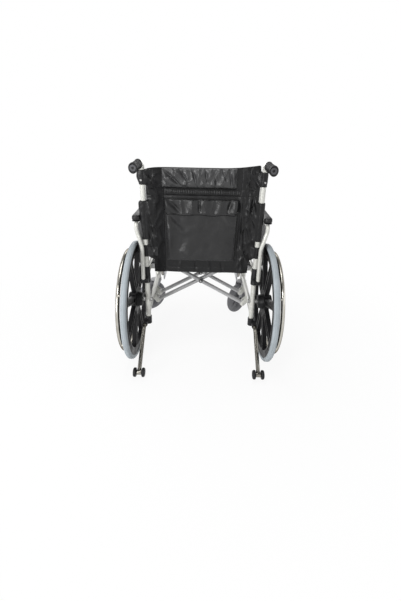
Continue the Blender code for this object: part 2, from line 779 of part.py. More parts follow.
def armrest_pad(side, label):
    """A crowned pad with drawn-in sides on the armrest's top tube."""
    x = side * (frame_half_width + arm_offset)
    base = arm_top_height + arm_tube + gap
    rear_y = ahead(pad_rear_ahead)
    front_y = ahead(pad_front_ahead)
    shape = bmesh.new()
    loops = []
    stations = 10
    around = 14
    for i in range(stations + 1):
        t = i / stations
        end = min(t, 1 - t) * stations
        draw = (0.80, 0.97, 1.0)[min(2, round(end))]
        loop = []
        for j in range(around):
            turn = 2 * math.pi * j / around
            across = math.copysign(abs(math.cos(turn)) ** 0.6, math.cos(turn)) * pad_half_width * draw
            up = math.copysign(abs(math.sin(turn)) ** 0.7, math.sin(turn)) * pad_height / 2 * draw
            lift = base + pad_height / 2 + max(up, -pad_height / 2)
            loop.append(shape.verts.new((x + across, rear_y + (front_y - rear_y) * t, lift)))
        loops.append(loop)
    for first, second in zip(loops, loops[1:]):
        for j in range(around):
            shape.faces.new((first[j], first[j - 1], second[j - 1], second[j]))
    shape.faces.new(loops[0])
    shape.faces.new(loops[-1])
    return from_bmesh(label + "_armrest_pad", shape, pad_vinyl)


def side_panel(side, label):
    x = side * (frame_half_width + arm_offset)
    rear = ahead(panel_rear_ahead)
    front = ahead(arm_front_ahead) + arm_tube + gap
    top = arm_top_height - arm_tube - gap
    corner = arm_bend
    outline = [(rear, panel_bottom + 0.03), (rear, top)]
    for i in range(5):
        turn = math.pi / 2 * (1 + i / 4)
        outline.append((front + corner + corner * math.cos(turn), top - corner + corner * math.sin(turn)))
    outline += [(front, panel_bottom), (rear - 0.03, panel_bottom)]
    low = x - panel_thickness / 2
    return slab(label + "_side_panel", outline, "YZ", low, low + panel_thickness, black_nylon)


def armrest_latch(side, label):
    """The channel on the seat frame rail that the armrest's front leg drops into."""
    rail_x = side * rail_half_width(arm_front_ahead)
    leg_x = side * (frame_half_width + arm_offset)
    y0 = ahead(arm_front_ahead) - 0.014
    y1 = ahead(arm_front_ahead) + 0.014
    floor_low = seat_frame_height + 0.010
    floor_high = arm_foot_height - gap
    inner = arm_tube + gap
    outer = inner + 0.0035
    lip = floor_high + 0.026
    reach_in = side * (outer + 0.004)
    half = side * (frame_tube + gap + rail_clamp_wall)
    top = seat_frame_height + abs(half)
    outline = [
        (rail_x - half, seat_frame_height - 0.012), (rail_x + half, seat_frame_height - 0.012),
        (rail_x + half + side * 0.002, floor_low), (leg_x + side * outer, floor_low),
        (leg_x + side * outer, lip), (leg_x + side * inner, lip), (leg_x + side * inner, floor_high),
        (leg_x - side * inner, floor_high), (leg_x - side * inner, lip), (leg_x - reach_in, lip),
        (leg_x - reach_in, top), (rail_x - half, top),
    ]
    latch = slab(label + "_armrest_latch", outline, "XZ", y0, y1, black_nylon)
    return without(latch, rail_cutter(label + "_latch_bore", side, seat_frame_height))


def brake_mount(side, label):
    rail_x = rail_half_width(brake_ahead)
    y = ahead(brake_ahead)
    outline = [(y - 0.020, brake_height - 0.008), (y + 0.020, brake_height - 0.008),
               (y + 0.020, seat_frame_height + 0.018), (y - 0.020, seat_frame_height + 0.018)]
    half = frame_tube + gap + rail_clamp_wall
    low, high = sorted((side * (rail_x - half), side * (rail_x + half)))
    mount = slab(label + "_brake_mount", outline, "YZ", low, high, black_nylon)
    rail = rail_cutter(label + "_brake_bore", side, seat_frame_height)
    lever_x = brake_plane() - plate_thickness / 2
    boss_end = lever_x - gap
    pin_end = lever_x + plate_thickness + gap
    boss = rail_x + half - rail_clamp_wall / 2
    profile = ((0, boss), (0.009, boss), (0.009, boss_end), (pivot_pin, boss_end),
               (pivot_pin, pin_end), (0.007, pin_end), (0.007, pin_end + 0.003), (0, pin_end + 0.003))
    post = turned(label + "_brake_pivot", profile, (0, y, brake_height), (side, 0, 0), 12, zinc)
    return joined(without(mount, rail), post)


def brake_plane():
    """X of the brake lever's plate, between the armrest and the tyre."""
    return frame_half_width + wheel_offset - tyre_half_width - slip - plate_thickness / 2


def brake_lever(side, label):
    y = ahead(brake_ahead)
    shoe_y = ahead(brake_shoe_ahead)
    top_y = ahead(brake_handle_ahead)
    near = brake_plane() - plate_thickness / 2
    low, high = sorted((side * near, side * (near + plate_thickness)))
    arm = rounded_bar((y, brake_height), 0.012, (shoe_y, brake_shoe_height), 0.008)
    stem = rounded_bar((y, brake_height), 0.012, (top_y, brake_handle_height), 0.006)
    lever = slab(label + "_brake_lever", arm, "YZ", low, high, zinc)
    joined(lever, slab(label + "_brake_stem", stem, "YZ", low, high, zinc))
    shoe_end = frame_half_width + wheel_offset + tyre_half_width - 0.003
    shoe_start = side * (brake_plane() - plate_thickness / 2)
    joined(lever, rod(label + "_brake_shoe", (shoe_start, shoe_y, brake_shoe_height),
                      (side * shoe_end, shoe_y, brake_shoe_height), brake_shoe_radius, zinc))
    lean = Vector((0, top_y - y, brake_handle_height - brake_height)).normalized()
    grip_x = side * brake_plane()
    grip_low = Vector((grip_x, top_y, brake_handle_height)) - lean * 0.055
    grip_profile = ((0, 0), (0.006, 0), (brake_grip_radius, 0.008), (brake_grip_radius - 0.001, 0.045),
                    (brake_grip_radius, 0.062), (0.005, 0.070), (0, 0.070))
    joined(lever, turned(label + "_brake_grip", grip_profile, grip_low, lean, 12, black_rubber))
    reach = side * 0.02
    bore = rod(label + "_brake_lever_bore", (grip_x - reach, y, brake_height),
               (grip_x + reach, y, brake_height), pivot_pin + gap, zinc, 12, flats=True)
    return without(lever, bore)


def tip_route(side):
    x = side * (frame_half_width + tip_offset)
    y = axle_y
    return bend_path(((x, y + 0.026, tip_socket_height), (x, y + 0.075, tip_socket_height),
                      (x, y + tip_wheel_behind, tip_wheel_height)), 0.045, 3)


def anti_tip_socket(side, label):
    """The black collar at the foot of the cane that holds the stabiliser tube."""
    x = side * frame_half_width
    tube_x = side * (frame_half_width + tip_offset)
    low = cane_foot_height - tip_collar_half
    high = cane_foot_height + tip_collar_half
    profile = ((0, low), (tip_collar_radius, low), (tip_collar_radius, high - 0.001),
               (tip_collar_radius - 0.001, high), (0, high))
    collar = turned(label + "_anti_tip_socket", profile, (x, axle_y, 0), (0, 0, 1), 16, black_nylon)
    wall = tip_tube + gap + 0.004
    joined(collar, rod(label + "_tip_receiver", (tube_x, axle_y + 0.004, tip_socket_height),
                       (tube_x, axle_y + 0.052, tip_socket_height), wall, black_nylon, 16))
    socket = rod(label + "_tip_bore", (tube_x, axle_y + 0.026 - gap, tip_socket_height),
                 (tube_x, axle_y + 0.10, tip_socket_height), tip_tube + gap, black_nylon, 12, flats=True)
    foot = rod(label + "_tip_cane_bore", (x, axle_y, cane_foot_height - gap),
               (x, axle_y, cane_foot_height + 0.05), frame_tube + gap, black_nylon, 16, flats=True)
    return without(collar, foot, socket)


def anti_tip_tube(side, label):
    bar = tube(label + "_anti_tip_tube", tip_route(side), tip_tube, chrome, 12)
    x = side * (frame_half_width + tip_offset)
    y = axle_y + tip_wheel_behind
    joined(bar, rod(label + "_tip_eye", (x - tip_eye_half, y, tip_wheel_height),
                    (x + tip_eye_half, y, tip_wheel_height), tip_eye_radius, chrome, 16))
    bore = rod(label + "_tip_axle_bore", (x - 0.05, y, tip_wheel_height), (x + 0.05, y, tip_wheel_height),
               tip_axle + gap, chrome, 12, flats=True)
    return without(bar, bore)


def anti_tip_wheels(side, label):
    x = side * (frame_half_width + tip_offset)
    near = tip_eye_half + slip
    far = near + 2 * tip_wheel_half
    r = tip_wheel_radius
    half = [(tip_axle, near), (0.009, near), (r - 0.003, near + 0.001), (r, near + 0.004),
            (r, far - 0.003), (r - 0.004, far), (0, far + 0.001)]
    profile = [(radius, -along) for radius, along in reversed(half)] + half
    place = (x, axle_y + tip_wheel_behind, tip_wheel_height)
    return turned(label + "_anti_tip_wheels", profile, place, (1, 0, 0), 12, black_rubber, flats=False)


def footrest_hanger(side, label):
    x = side * post_half_width
    swing_y = ahead(hanger_line_ahead)
    drop_y = swing_y - hanger_drop_ahead
    foot_y = ahead(front_reach - foot_run)
    front_y = ahead(front_reach) + 0.006
    route = ((x, swing_y, hanger_low), (x, swing_y, hanger_top), (x, drop_y, hanger_top),
             (x, foot_y, foot_height), (x, front_y, foot_height))
    hanger = tube(label + "_footrest_hanger", bend_path(route, hanger_bend, 3), hanger_tube, chrome, 12)
    stop_low = upper_ring_height + ring_width + gap
    stop = rod(label + "_hanger_stop", (x, swing_y, stop_low), (x, swing_y, stop_low + 0.006),
               hanger_tube + 0.003, chrome, 12)
    return joined(hanger, stop)


def footplate(side, label):
    """Shown flipped up beside the hanger; it swings down to face the sitter's feet."""
    x = side * post_half_width
    front_y = ahead(front_reach)
    barrel_inner = hanger_tube + gap
    barrel_outer = barrel_inner + barrel_wall
    barrel_start = front_y + 0.010
    barrel = rod(label + "_footplate", (x, barrel_start, foot_height),
                 (x, barrel_start + barrel_length, foot_height), barrel_outer, grey_plate, 16)
    near = x - side * (hanger_tube + slip + 0.002)
    far = near - side * footplate_thickness
    low, high = sorted((near, far))
    r = 0.022
    outline = []
    y0, y1 = front_y, front_y + plate_depth
    z0, z1 = foot_height - 0.008, foot_height + plate_length
    for cy, cz, start in ((y1 - r, z1 - r, 0.0), (y0 + r, z1 - r, 90.0), (y0 + 0.006, z0 + 0.006, 180.0),
                          (y1 - 0.006, z0 + 0.006, 270.0)):
        size = r if start < 180 else 0.006
        for i in range(4):
            turn = math.radians(start + 30 * i)
            outline.append((cy + size * math.cos(turn), cz + size * math.sin(turn)))
    plate = slab(label + "_plate", outline, "YZ", low, high, grey_plate)
    web_low, web_high = sorted((x - side * barrel_inner, near - side * 0.001))
    web = slab(label + "_plate_web", box_outline(barrel_start, barrel_start + barrel_length,
                                                foot_height - 0.008, foot_height + barrel_outer + 0.0005),
               "YZ", web_low, web_high, grey_plate)
    joined(barrel, plate, web)
    bore = rod(label + "_barrel_bore", (x, front_y - 0.05, foot_height),
               (x, barrel_start + barrel_length + 0.03, foot_height), barrel_inner, grey_plate, 12, flats=True)
    return without(barrel, bore)


def cross_arm(name, foot_side, place):
    """One brace tube, from its lower pivot up to the seat rail on the other side."""
    y = ahead(arm_ahead(place, foot_side))
    foot = Vector((foot_side * brace_half_span, y, brace_pivot_height))
    top = Vector((-foot_side * brace_half_span, y, seat_rail_height))
    arm = rod(name, foot, top, brace_tube, brace_paint, 12)
    half = Vector((0, eye_half_length, 0))
    joined(arm, rod(name + "_eye", foot - half, foot + half, eye_radius, brace_paint, 16))
    reach = Vector((0, 0.03, 0))
    centre = Vector((0, y, brace_centre_height))
    rail = Vector((0, 0.06, 0))
    return without(
        arm,
        rod(name + "_eye_bore", foot - reach, foot + reach, pivot_pin + gap, zinc, 12, flats=True),
        rod(name + "_bolt_bore", centre - reach, centre + reach, cross_bolt + gap, zinc, 12, flats=True),
        rod(name + "_rail_cope", top - rail, top + rail, brace_tube + gap, zinc, 16, flats=True),
    )


def cross_bolt_through(name, distance):
    """The bolt that holds the two arms of one cross together."""
    rear = brace_tube + gap
    front = -(arm_plane_step + brace_tube + gap)
    end = rear + bolt_head_thickness
    profile = (
        (0, front - 0.006), (cross_bolt_head - 0.001, front - 0.006), (cross_bolt_head - 0.001, front),
        (cross_bolt, front), (cross_bolt, rear), (cross_bolt_head, rear), (cross_bolt_head, end - 0.002),
        (cross_bolt_head - 0.003, end), (0, end),
    )
    return turned(name, profile, (0, ahead(distance), brace_centre_height), (0, 1, 0), 12, zinc)


def seat_rail(side, label):
    x = side * brace_half_span
    length = seat_rail_front - seat_rail_rear
    profile = ((0, 0), (brace_tube - 0.002, 0), (brace_tube, 0.002), (brace_tube, length - 0.002),
               (brace_tube - 0.002, length), (0, length))
    front = (x, ahead(seat_rail_front), seat_rail_height)
    return turned(label + "_seat_rail", profile, front, (0, 1, 0), 16, brace_paint)


def seat_sling():
    """The seat's cloth, wrapped over both seat rails and slack between them."""
    inner = (brace_tube + gap) / math.cos(math.pi / 16) + gap
    outer = inner + sling_thickness
    wrap = [math.radians(a) for a in (10, 35, 60, 90)]
    under, over = [], []
    for turn in wrap:
        under.append((brace_half_span + inner * math.cos(turn), seat_rail_height + inner * math.sin(turn)))
        over.append((brace_half_span + outer * math.cos(turn), seat_rail_height + outer * math.sin(turn)))
    spans = 8
    for i in range(1, spans + 1):
        t = i / spans
        x = (brace_half_span - inner) * (1 - t)
        drop = seat_sag * (1 - (x / brace_half_span) ** 2)
        under.append((x, seat_rail_height + inner - drop))
        over.append((x, seat_rail_height + outer - drop))
    right_under = [(-x, z) for x, z in reversed(under[:-1])]
    right_over = [(-x, z) for x, z in reversed(over[:-1])]
    outline = under + right_under + list(reversed(over + right_over))
    low = ahead(seat_front)
    high = ahead(seat_back)
    return slab("seat_sling", outline, "XZ", low, high, black_cloth)


def back_crease(across, height):
    """Depth of the back's main folds behind its plane: a slack middle and long waves near the top."""
    slack = max(0.0, 1 - (across / back_reach) ** 2)
    near_top = max(0.0, (height - back_top + back_roll) / back_roll)
    waves = math.sin(26 * across + 3.0) + 0.6 * math.sin(47 * across - 9 * height)
    held = max(0.0, 1 - (across / back_reach) ** 4)
    return 0.006 * slack + near_top * held * (0.004 * waves + 0.010)


def back_edge_height(across):
    """The top edge is crowned, climbs towards the right cane and drops again beside both canes."""
    share = across / back_reach
    if abs(across) > back_reach - back_edge_strip:
        return back_top
    return back_top + back_crown * (1 - share ** 8) + back_corner_rise * max(0.0, -share) ** 4


def back_levels(heights):
    """Heights of a cloth's rows, with one where the canes start to lean if that lies between them."""
    return sorted({*heights, *(h for h in [rake_height] if heights[0] < h < heights[-1])})


def back_outline():
    """(height, half width) of the back's rows, which narrow below the lowest sleeve."""
    shoulder = back_wide_height - back_shoulder
    heights = [back_bottom, shoulder]
    for share in (0.0, 0.25, 0.46, 0.71, 0.80, 0.88, 0.94, 1.0):
        heights.append(back_wide_height + (back_top - back_wide_height) * share)
    rows = []
    for height in back_levels(heights):
        widened = min(1.0, max(0.0, (height - shoulder) / back_shoulder))
        rows.append((height, back_narrow_half + (back_half_width - back_narrow_half) * widened))
    return rows


def back_upholstery():
    """The back's cloth: one hanging panel with sleeves round both canes."""
    columns = 14
    shape = bmesh.new()
    front, rear = [], []
    for level, half_width in back_outline():
        front_row, rear_row = [], []
        flat = half_width - back_edge_strip
        for j in range(columns + 3):
            x = flat * (2 * (j - 1) / columns - 1)
            if j in (0, columns + 2):
                x = math.copysign(half_width, x)
            height = back_edge_height(x) if level > back_top - gap else level
            middle = axle_y + cane_ahead_at(height) + back_crease(x, height)
            front_row.append(shape.verts.new((x, middle - back_thickness / 2, height)))
            rear_row.append(shape.verts.new((x, middle + back_thickness / 2, height)))
        front.append(front_row)
        rear.append(rear_row)
    close_between(shape, front, rear)
    panel = from_bmesh("back_upholstery", shape, black_cloth)
    span = back_top - back_wide_height
    for side in (1, -1):
        for i, shares in enumerate(sleeve_bands):
            low, high = (back_wide_height + span * share for share in shares)
            joined(panel, sleeve(f"sleeve_{side}_{i}", cane_between(side * frame_half_width, low, high)))
    return panel


def cane_between(x, low, high):
    """The middle line of a cane between two heights under its handle."""
    path = cane_path(x)
    route = []
    for before, after in zip(path, path[1:]):
        for height in (low, high):
            if before.z < height <= after.z:
                route.append(before.lerp(after, (height - before.z) / (after.z - before.z)))
        if low < after.z < high:
            route.append(after)
    return sorted(route, key=lambda point: point.z)


def sleeve(name, route):
    """A hollow band of cloth along part of a cane."""
    grow = 1 / math.cos(math.pi / sleeve_sides)
    across = Vector((1, 0, 0))
    shape = bmesh.new()
    rings = []
    for i, middle in enumerate(route):
        along = route[min(i + 1, len(route) - 1)] - route[max(i - 1, 0)]
        rearward = along.cross(across).normalized()
        pair = []
        for radius in (sleeve_bore * grow, (sleeve_bore + sleeve_wall) * grow):
            ring = []
            for j in range(sleeve_sides):
                turn = 2 * math.pi * j / sleeve_sides
                out = across * math.cos(turn) + rearward * math.sin(turn)
                ring.append(shape.verts.new(middle + out * radius))
            pair.append(ring)
        rings.append(pair)
    for j in range(sleeve_sides):
        for low, high in zip(rings, rings[1:]):
            for level in (0, 1):
                shape.faces.new((low[level][j - 1], low[level][j], high[level][j], high[level][j - 1]))
        for inner, outer in (rings[0], rings[-1]):
            shape.faces.new((inner[j - 1], inner[j], outer[j], outer[j - 1]))
    return from_bmesh(name, shape, black_cloth)


def close_between(shape, front, rear):
    """Faces over two grids of corners, one before the other, and round their edges."""
    last_row = len(front) - 1
    last = len(front[0]) - 1
    for i in range(last_row):
        for j in range(last):
            shape.faces.new((front[i][j], front[i][j + 1], front[i + 1][j + 1], front[i + 1][j]))
            shape.faces.new((rear[i][j], rear[i + 1][j], rear[i + 1][j + 1], rear[i][j + 1]))
        shape.faces.new((front[i][0], front[i + 1][0], rear[i + 1][0], rear[i][0]))
        shape.faces.new((front[i][last], rear[i][last], rear[i + 1][last], front[i + 1][last]))
    for j in range(last):
        shape.faces.new((front[0][j], rear[0][j], rear[0][j + 1], front[0][j + 1]))
        shape.faces.new((front[last_row][j], front[last_row][j + 1], rear[last_row][j + 1], rear[last_row][j]))


def pouch(name, half_width, low, high, start, depth):
    """A soft pad sewn on the rear face of the back, puffed in the middle."""
    rows = 5
    columns = 8
    shape = bmesh.new()
    front, rear = [], []
    for height in back_levels([low + (high - low) * i / rows for i in range(rows + 1)]):
        front_row, rear_row = [], []
        for j in range(columns + 1):
            x = half_width * (2 * j / columns - 1)
            base = axle_y + cane_ahead_at(height) + back_crease(x, height) + back_thickness / 2 + start
            rounded = math.sin(math.pi * (height - low) / (high - low)) * math.sin(math.pi * j / columns)
            edge = min(1.0, 0.35 + 1.3 * rounded)
            front_row.append(shape.verts.new((x, base, height)))
            rear_row.append(shape.verts.new((x, base + depth * edge, height)))
        front.append(front_row)
        rear.append(rear_row)
    close_between(shape, front, rear)
    return from_bmesh(name, shape, black_cloth)


def build_side(side, label, frame_carrier, swivel):
    x = side * frame_half_width
    fixed = [
        back_cane(side, label), handle_grip(side, label), front_post(side, label), lower_rail(side, label),
        seat_frame_rail(side, label), rear_axle(side, label), armrest_hinge(side, label), armrest_latch(side, label),
        brake_mount(side, label), anti_tip_socket(side, label), anti_tip_tube(side, label),
    ]
    carry(frame_carrier, *fixed)
    wheel_pivot = pivot(label + "_wheel_pivot", (x + side * wheel_offset, axle_y, wheel_radius), frame_carrier)
    carry(wheel_pivot, *rear_wheel(side, label), handrim(side, label))
    post_x = side * post_half_width
    swivel_pivot = pivot(label + "_swivel_pivot", (post_x, ahead(post_ahead), head_tube_bottom), frame_carrier)
    carry(swivel_pivot, caster_fork(side, label))
    roll_place = (post_x, ahead(post_ahead) + caster_trail, caster_radius)
    roll_pivot = pivot(label + "_caster_pivot", roll_place, swivel_pivot)
    carry(roll_pivot, *caster_wheel(side, label))
    swivel_pivot.rotation_euler.z = -swivel
    arm_pivot = pivot(label + "_armrest_pivot", (x, axle_y + arm_hinge_behind, arm_hinge_height), frame_carrier)
    carry(arm_pivot, armrest_frame(side, label), armrest_pad(side, label), side_panel(side, label))
    brake_pivot = pivot(label + "_brake_pivot_axis", (x, ahead(brake_ahead), brake_height), frame_carrier)
    carry(brake_pivot, brake_lever(side, label))
    tip_pivot = pivot(label + "_tip_pivot", (x, axle_y + tip_wheel_behind, tip_wheel_height), frame_carrier)
    carry(tip_pivot, anti_tip_wheels(side, label))
    swing_pivot = pivot(label + "_hanger_pivot", (post_x, ahead(hanger_line_ahead), hanger_low), frame_carrier)
    carry(swing_pivot, footrest_hanger(side, label))
    plate_pivot = pivot(label + "_footplate_pivot", (post_x, ahead(front_reach), foot_height), swing_pivot)
    carry(plate_pivot, footplate(side, label))


left_frame = pivot("left_frame", (0, 0, 0))
left_frame.location.x = -caster_overhang / 2
brace_left = pivot("brace_left_foot", (brace_half_span, axle_y, brace_pivot_height), left_frame)
brace_right = pivot("brace_right_foot", (0, axle_y, brace_centre_height), brace_left)
right_frame = pivot("right_frame", (-brace_half_span, axle_y, brace_pivot_height), brace_right)

build_side(1, "left", left_frame, left_swivel)
build_side(-1, "right", right_frame, right_swivel)
carry(
    brace_left,
    cross_arm("cross_arm_rear_left", 1, "rear"),
    cross_arm("cross_arm_front_left", 1, "front"),
    cross_bolt_through("cross_bolt_rear", rear_arm_ahead),
    cross_bolt_through("cross_bolt_front", front_arm_ahead),
    seat_rail(-1, "right"),
    seat_sling(),
)
carry(
    brace_right,
    cross_arm("cross_arm_rear_right", -1, "rear"),
    cross_arm("cross_arm_front_right", -1, "front"),
    seat_rail(1, "left"),
)
carry(
    left_frame,
    back_upholstery(),
    pouch("back_pocket", pocket_half_width, pocket_bottom, pocket_top, gap, pocket_depth),
    pouch("pocket_flap", pocket_half_width + 0.006, pocket_top + gap, flap_top, gap, flap_thickness),
)
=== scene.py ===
import math

import bmesh
import bpy
from mathutils import Matrix, Vector, noise


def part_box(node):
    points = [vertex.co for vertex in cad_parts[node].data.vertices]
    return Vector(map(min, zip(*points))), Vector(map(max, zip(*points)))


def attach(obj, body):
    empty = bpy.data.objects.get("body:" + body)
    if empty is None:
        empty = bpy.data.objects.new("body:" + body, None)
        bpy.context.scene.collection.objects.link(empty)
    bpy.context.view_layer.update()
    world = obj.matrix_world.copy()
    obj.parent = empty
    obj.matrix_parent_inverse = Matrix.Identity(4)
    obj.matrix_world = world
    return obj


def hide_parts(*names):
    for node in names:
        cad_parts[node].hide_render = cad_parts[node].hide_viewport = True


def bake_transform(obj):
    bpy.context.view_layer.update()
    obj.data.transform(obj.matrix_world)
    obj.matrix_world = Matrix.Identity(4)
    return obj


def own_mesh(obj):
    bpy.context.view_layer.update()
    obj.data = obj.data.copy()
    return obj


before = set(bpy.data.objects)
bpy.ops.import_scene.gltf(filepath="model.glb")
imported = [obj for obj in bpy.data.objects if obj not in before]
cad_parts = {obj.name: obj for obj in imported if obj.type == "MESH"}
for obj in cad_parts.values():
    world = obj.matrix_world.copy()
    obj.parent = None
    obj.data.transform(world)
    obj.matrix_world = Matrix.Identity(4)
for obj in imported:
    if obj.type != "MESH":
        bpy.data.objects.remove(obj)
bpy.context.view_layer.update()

# The places that every part is set out from, in metres
chair = {
    "middleX": -0.01425,  # the chair's own middle plane
    "axleY": 0.250,
    "axleZ": 0.305,
    "halfWidth": 0.274,  # middle plane to the centre of a back cane
    "tube": 0.0127,
    "leanFrom": 0.500,  # height where the canes start to lean back
    "lean": math.radians(4.35),
    "postHalfWidth": 0.282,
    "postAhead": 0.480,
    "lowerRailZ": 0.240,
    "seatRailX": 0.246,  # also where the brace arms end, at both ends
    "seatRailZ": 0.479,
}
sides = ((1, "left"), (-1, "right"))
slip = 0.0003  # room between parts that slide or press on each other
pinBore = 0.0043


def atX(side, distance):
    return chair["middleX"] + side * distance


def caneX(side, outboard=0.0):
    return atX(side, chair["halfWidth"] + outboard)


def ahead(distance):
    return chair["axleY"] - distance


def leanAt(height):
    return max(0.0, height - chair["leanFrom"]) * math.tan(chair["lean"])


def softCorners(points, radius, steps=3, closed=True):
    # each corner becomes a small arc, never longer than its edges allow
    out = []
    count = len(points)
    for i, corner in enumerate(points):
        if not closed and i in (0, count - 1):
            out.append(tuple(corner))
            continue
        here = Vector(corner)
        back = Vector(points[i - 1]) - here
        on = Vector(points[(i + 1) % count]) - here
        room = 0.45 * min(back.length, on.length)
        half = back.angle(on, math.pi) / 2
        if half > math.radians(86) or half < math.radians(4):
            out.append(tuple(here))
            continue
        reach = min(radius / math.tan(half), room)
        bend = reach * math.tan(half)
        centre = here + (back.normalized() + on.normalized()).normalized() * bend / math.sin(half)
        first = here + back.normalized() * reach - centre
        last = here + on.normalized() * reach - centre
        for k in range(steps + 1):
            out.append(tuple(centre + first.lerp(last, k / steps).normalized() * bend))
    return out


def newObject(name, data):
    thing = bpy.data.objects.new(name, data)
    bpy.context.scene.collection.objects.link(thing)
    return thing


def oneMesh(name, shapes):
    # several closed shapes in one mesh, each with its faces turned outwards first
    whole = bmesh.new()
    for shape in shapes:
        bmesh.ops.remove_doubles(shape, verts=shape.verts, dist=0.000005)
        bmesh.ops.recalc_face_normals(shape, faces=shape.faces)
        held = bpy.data.meshes.new("held")
        shape.to_mesh(held)
        shape.free()
        whole.from_mesh(held)
        bpy.data.meshes.remove(held)
    mesh = bpy.data.meshes.new(name)
    whole.to_mesh(mesh)
    whole.free()
    return mesh


slotOf = {}  # which of the record's material slots each finish belongs to


def newPiece(name, shapes, material, body, *replaced, slotName=None, smoothAngle=38):
    # replaced are the CAD nodes that the piece stands for
    mesh = oneMesh(name, shapes)
    mesh.materials.append(material)
    mesh.shade_smooth()
    mesh.set_sharp_from_angle(angle=math.radians(smoothAngle))
    piece = newObject(name, mesh)
    if body:
        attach(piece, body)
    if replaced:
        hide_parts(*replaced)
    slotName = slotName or slotOf[material.name]
    return piece


def sidePiece(label, name, shapes, material, body, *replaced, **more):
    # a piece of one side of the chair, whose body and CAD nodes have names that start with the side
    replaced = [f"{label}_{node}" for node in replaced]
    return newPiece(label + name, shapes, material, f"{label}_{body}", *replaced, **more)


def roundEdges(piece, width, angle=40):
    rounding = piece.modifiers.new("edges", "BEVEL")
    rounding.width = width
    rounding.segments = 2
    rounding.limit_method = "ANGLE"
    rounding.angle_limit = math.radians(angle)
    rounding.harden_normals = True


def cadCopy(label, node, material, body, bevel):
    # a merged, smooth copy of a CAD node whose shape is right as it is
    shape = bmesh.new()
    shape.from_mesh(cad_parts[f"{label}_{node}"].data)
    bmesh.ops.remove_doubles(shape, verts=shape.verts, dist=0.00002)
    bmesh.ops.dissolve_limit(shape, angle_limit=math.radians(0.5), verts=shape.verts, edges=shape.edges)
    roundEdges(sidePiece(label, node.title().replace("_", ""), [shape], material, body, node), bevel, 50)


def bentRoute(corners, radius, steps=8):
    # a tube's corner points with each bend drawn as an arc
    return [Vector(p) for p in softCorners([tuple(c) for c in corners], radius, steps, closed=False)]


def finalMesh(piece):
    bpy.context.view_layer.update()
    return bpy.data.meshes.new_from_object(piece.evaluated_get(bpy.context.evaluated_depsgraph_get()))


def tubeShape(route, radius, sidesRound=32, loop=False):
    curve = bpy.data.curves.new("route", "CURVE")
    curve.dimensions = "3D"
    curve.bevel_depth = radius
    curve.bevel_resolution = (sidesRound - 4) // 2
    curve.use_fill_caps = not loop
    spline = curve.splines.new("POLY")
    spline.points.add(len(route) - 1)
    spline.use_cyclic_u = loop
    for point, place in zip(spline.points, route):
        point.co = (*place, 1.0)
    guide = newObject("route", curve)
    mesh = finalMesh(guide)
    bpy.data.objects.remove(guide, do_unlink=True)
    shape = bmesh.new()
    shape.from_mesh(mesh)
    bpy.data.meshes.remove(mesh)
    return shape


def latheShape(profile, centre, axis, steps=64, soft=0.0):
    # profile is (radius, along), a loop unless it starts and ends on the axis through centre
    closed = profile[0][0] > 0
    points = softCorners(profile, soft, 3, closed) if soft else profile
    axis = Vector(axis).normalized()
    out = axis.orthogonal().normalized()
    shape = bmesh.new()
    corners = [shape.verts.new(Vector(centre) + out * r + axis * a) for r, a in points]
    edges = [shape.edges.new(pair) for pair in zip(corners, corners[1:])]
    if closed:
        edges.append(shape.edges.new((corners[-1], corners[0])))
    bmesh.ops.spin(shape, geom=corners + edges, cent=centre, axis=axis, dvec=(0, 0, 0),
                   angle=2 * math.pi, steps=steps, use_merge=True)
    return shape


def bothSides(half):
    # a profile that is the same on both sides of its middle
    return [(r, -a) for r, a in reversed(half)] + half


def roundTread(half):
    # a tyre's section from the middle of its tread to one edge of its seat, and back round the other side
    return half + [(r, -a) for r, a in reversed(half[1:])]


def slabShape(outline, plane, low, high, soft=0.0, segments=2):
    toSpace = {"YZ": lambda a, b, c: (c, a, b), "XZ": lambda a, b, c: (a, c, b), "XY": lambda a, b, c: (a, b, c)}[plane]
    shape = bmesh.new()
    face = shape.faces.new([shape.verts.new(toSpace(a, b, low)) for a, b in outline])
    pushed = bmesh.ops.extrude_face_region(shape, geom=[face])["geom"]
    ends = [v for v in pushed if isinstance(v, bmesh.types.BMVert)]
    bmesh.ops.translate(shape, verts=ends, vec=Vector(toSpace(0, 0, high)) - Vector(toSpace(0, 0, low)))
    bmesh.ops.recalc_face_normals(shape, faces=shape.faces)
    if soft:
        sharp = [e for e in shape.edges if len(e.link_faces) == 2 and e.calc_face_angle() > math.radians(40)]
        bmesh.ops.bevel(shape, geom=sharp, offset=soft, offset_type="OFFSET", segments=segments, profile=0.5,
                        affect="EDGES", material=-1, clamp_overlap=True)
    return shape


def roundedBar(first, firstRadius, second, secondRadius, steps=12):
    # outline of a bar with round ends
    angle = math.atan2(second[1] - first[1], second[0] - first[0])
    outline = []
    for centre, radius, start in ((first, firstRadius, angle + math.pi / 2),
                                  (second, secondRadius, angle - math.pi / 2)):
        for i in range(steps + 1):
            turn = start + math.pi * i / steps
            outline.append((centre[0] + radius * math.cos(turn), centre[1] + radius * math.sin(turn)))
    return outline


def moved(shape, matrix):
    bmesh.ops.transform(shape, matrix=matrix, verts=shape.verts)
    return shape


def carved(base, cutters):
    # base with the cutters' solids cut out of it, all given and returned as bmeshes
    whole, tool = (newObject("carving", oneMesh("carving", shapes)) for shapes in ([base], cutters))
    cut = whole.modifiers.new("cut", "BOOLEAN")
    cut.operation = "DIFFERENCE"
    cut.solver = "EXACT"
    cut.object = tool
    shape = bmesh.new()
    shape.from_mesh(finalMesh(whole))
    for piece in (whole, tool):
        bpy.data.objects.remove(piece, do_unlink=True)
    return shape


def linearColour(code):
    parts = [int(code[i:i + 2], 16) / 255 for i in (1, 3, 5)]
    return [p / 12.92 if p <= 0.04045 else ((p + 0.055) / 1.055) ** 2.4 for p in parts] + [1.0]


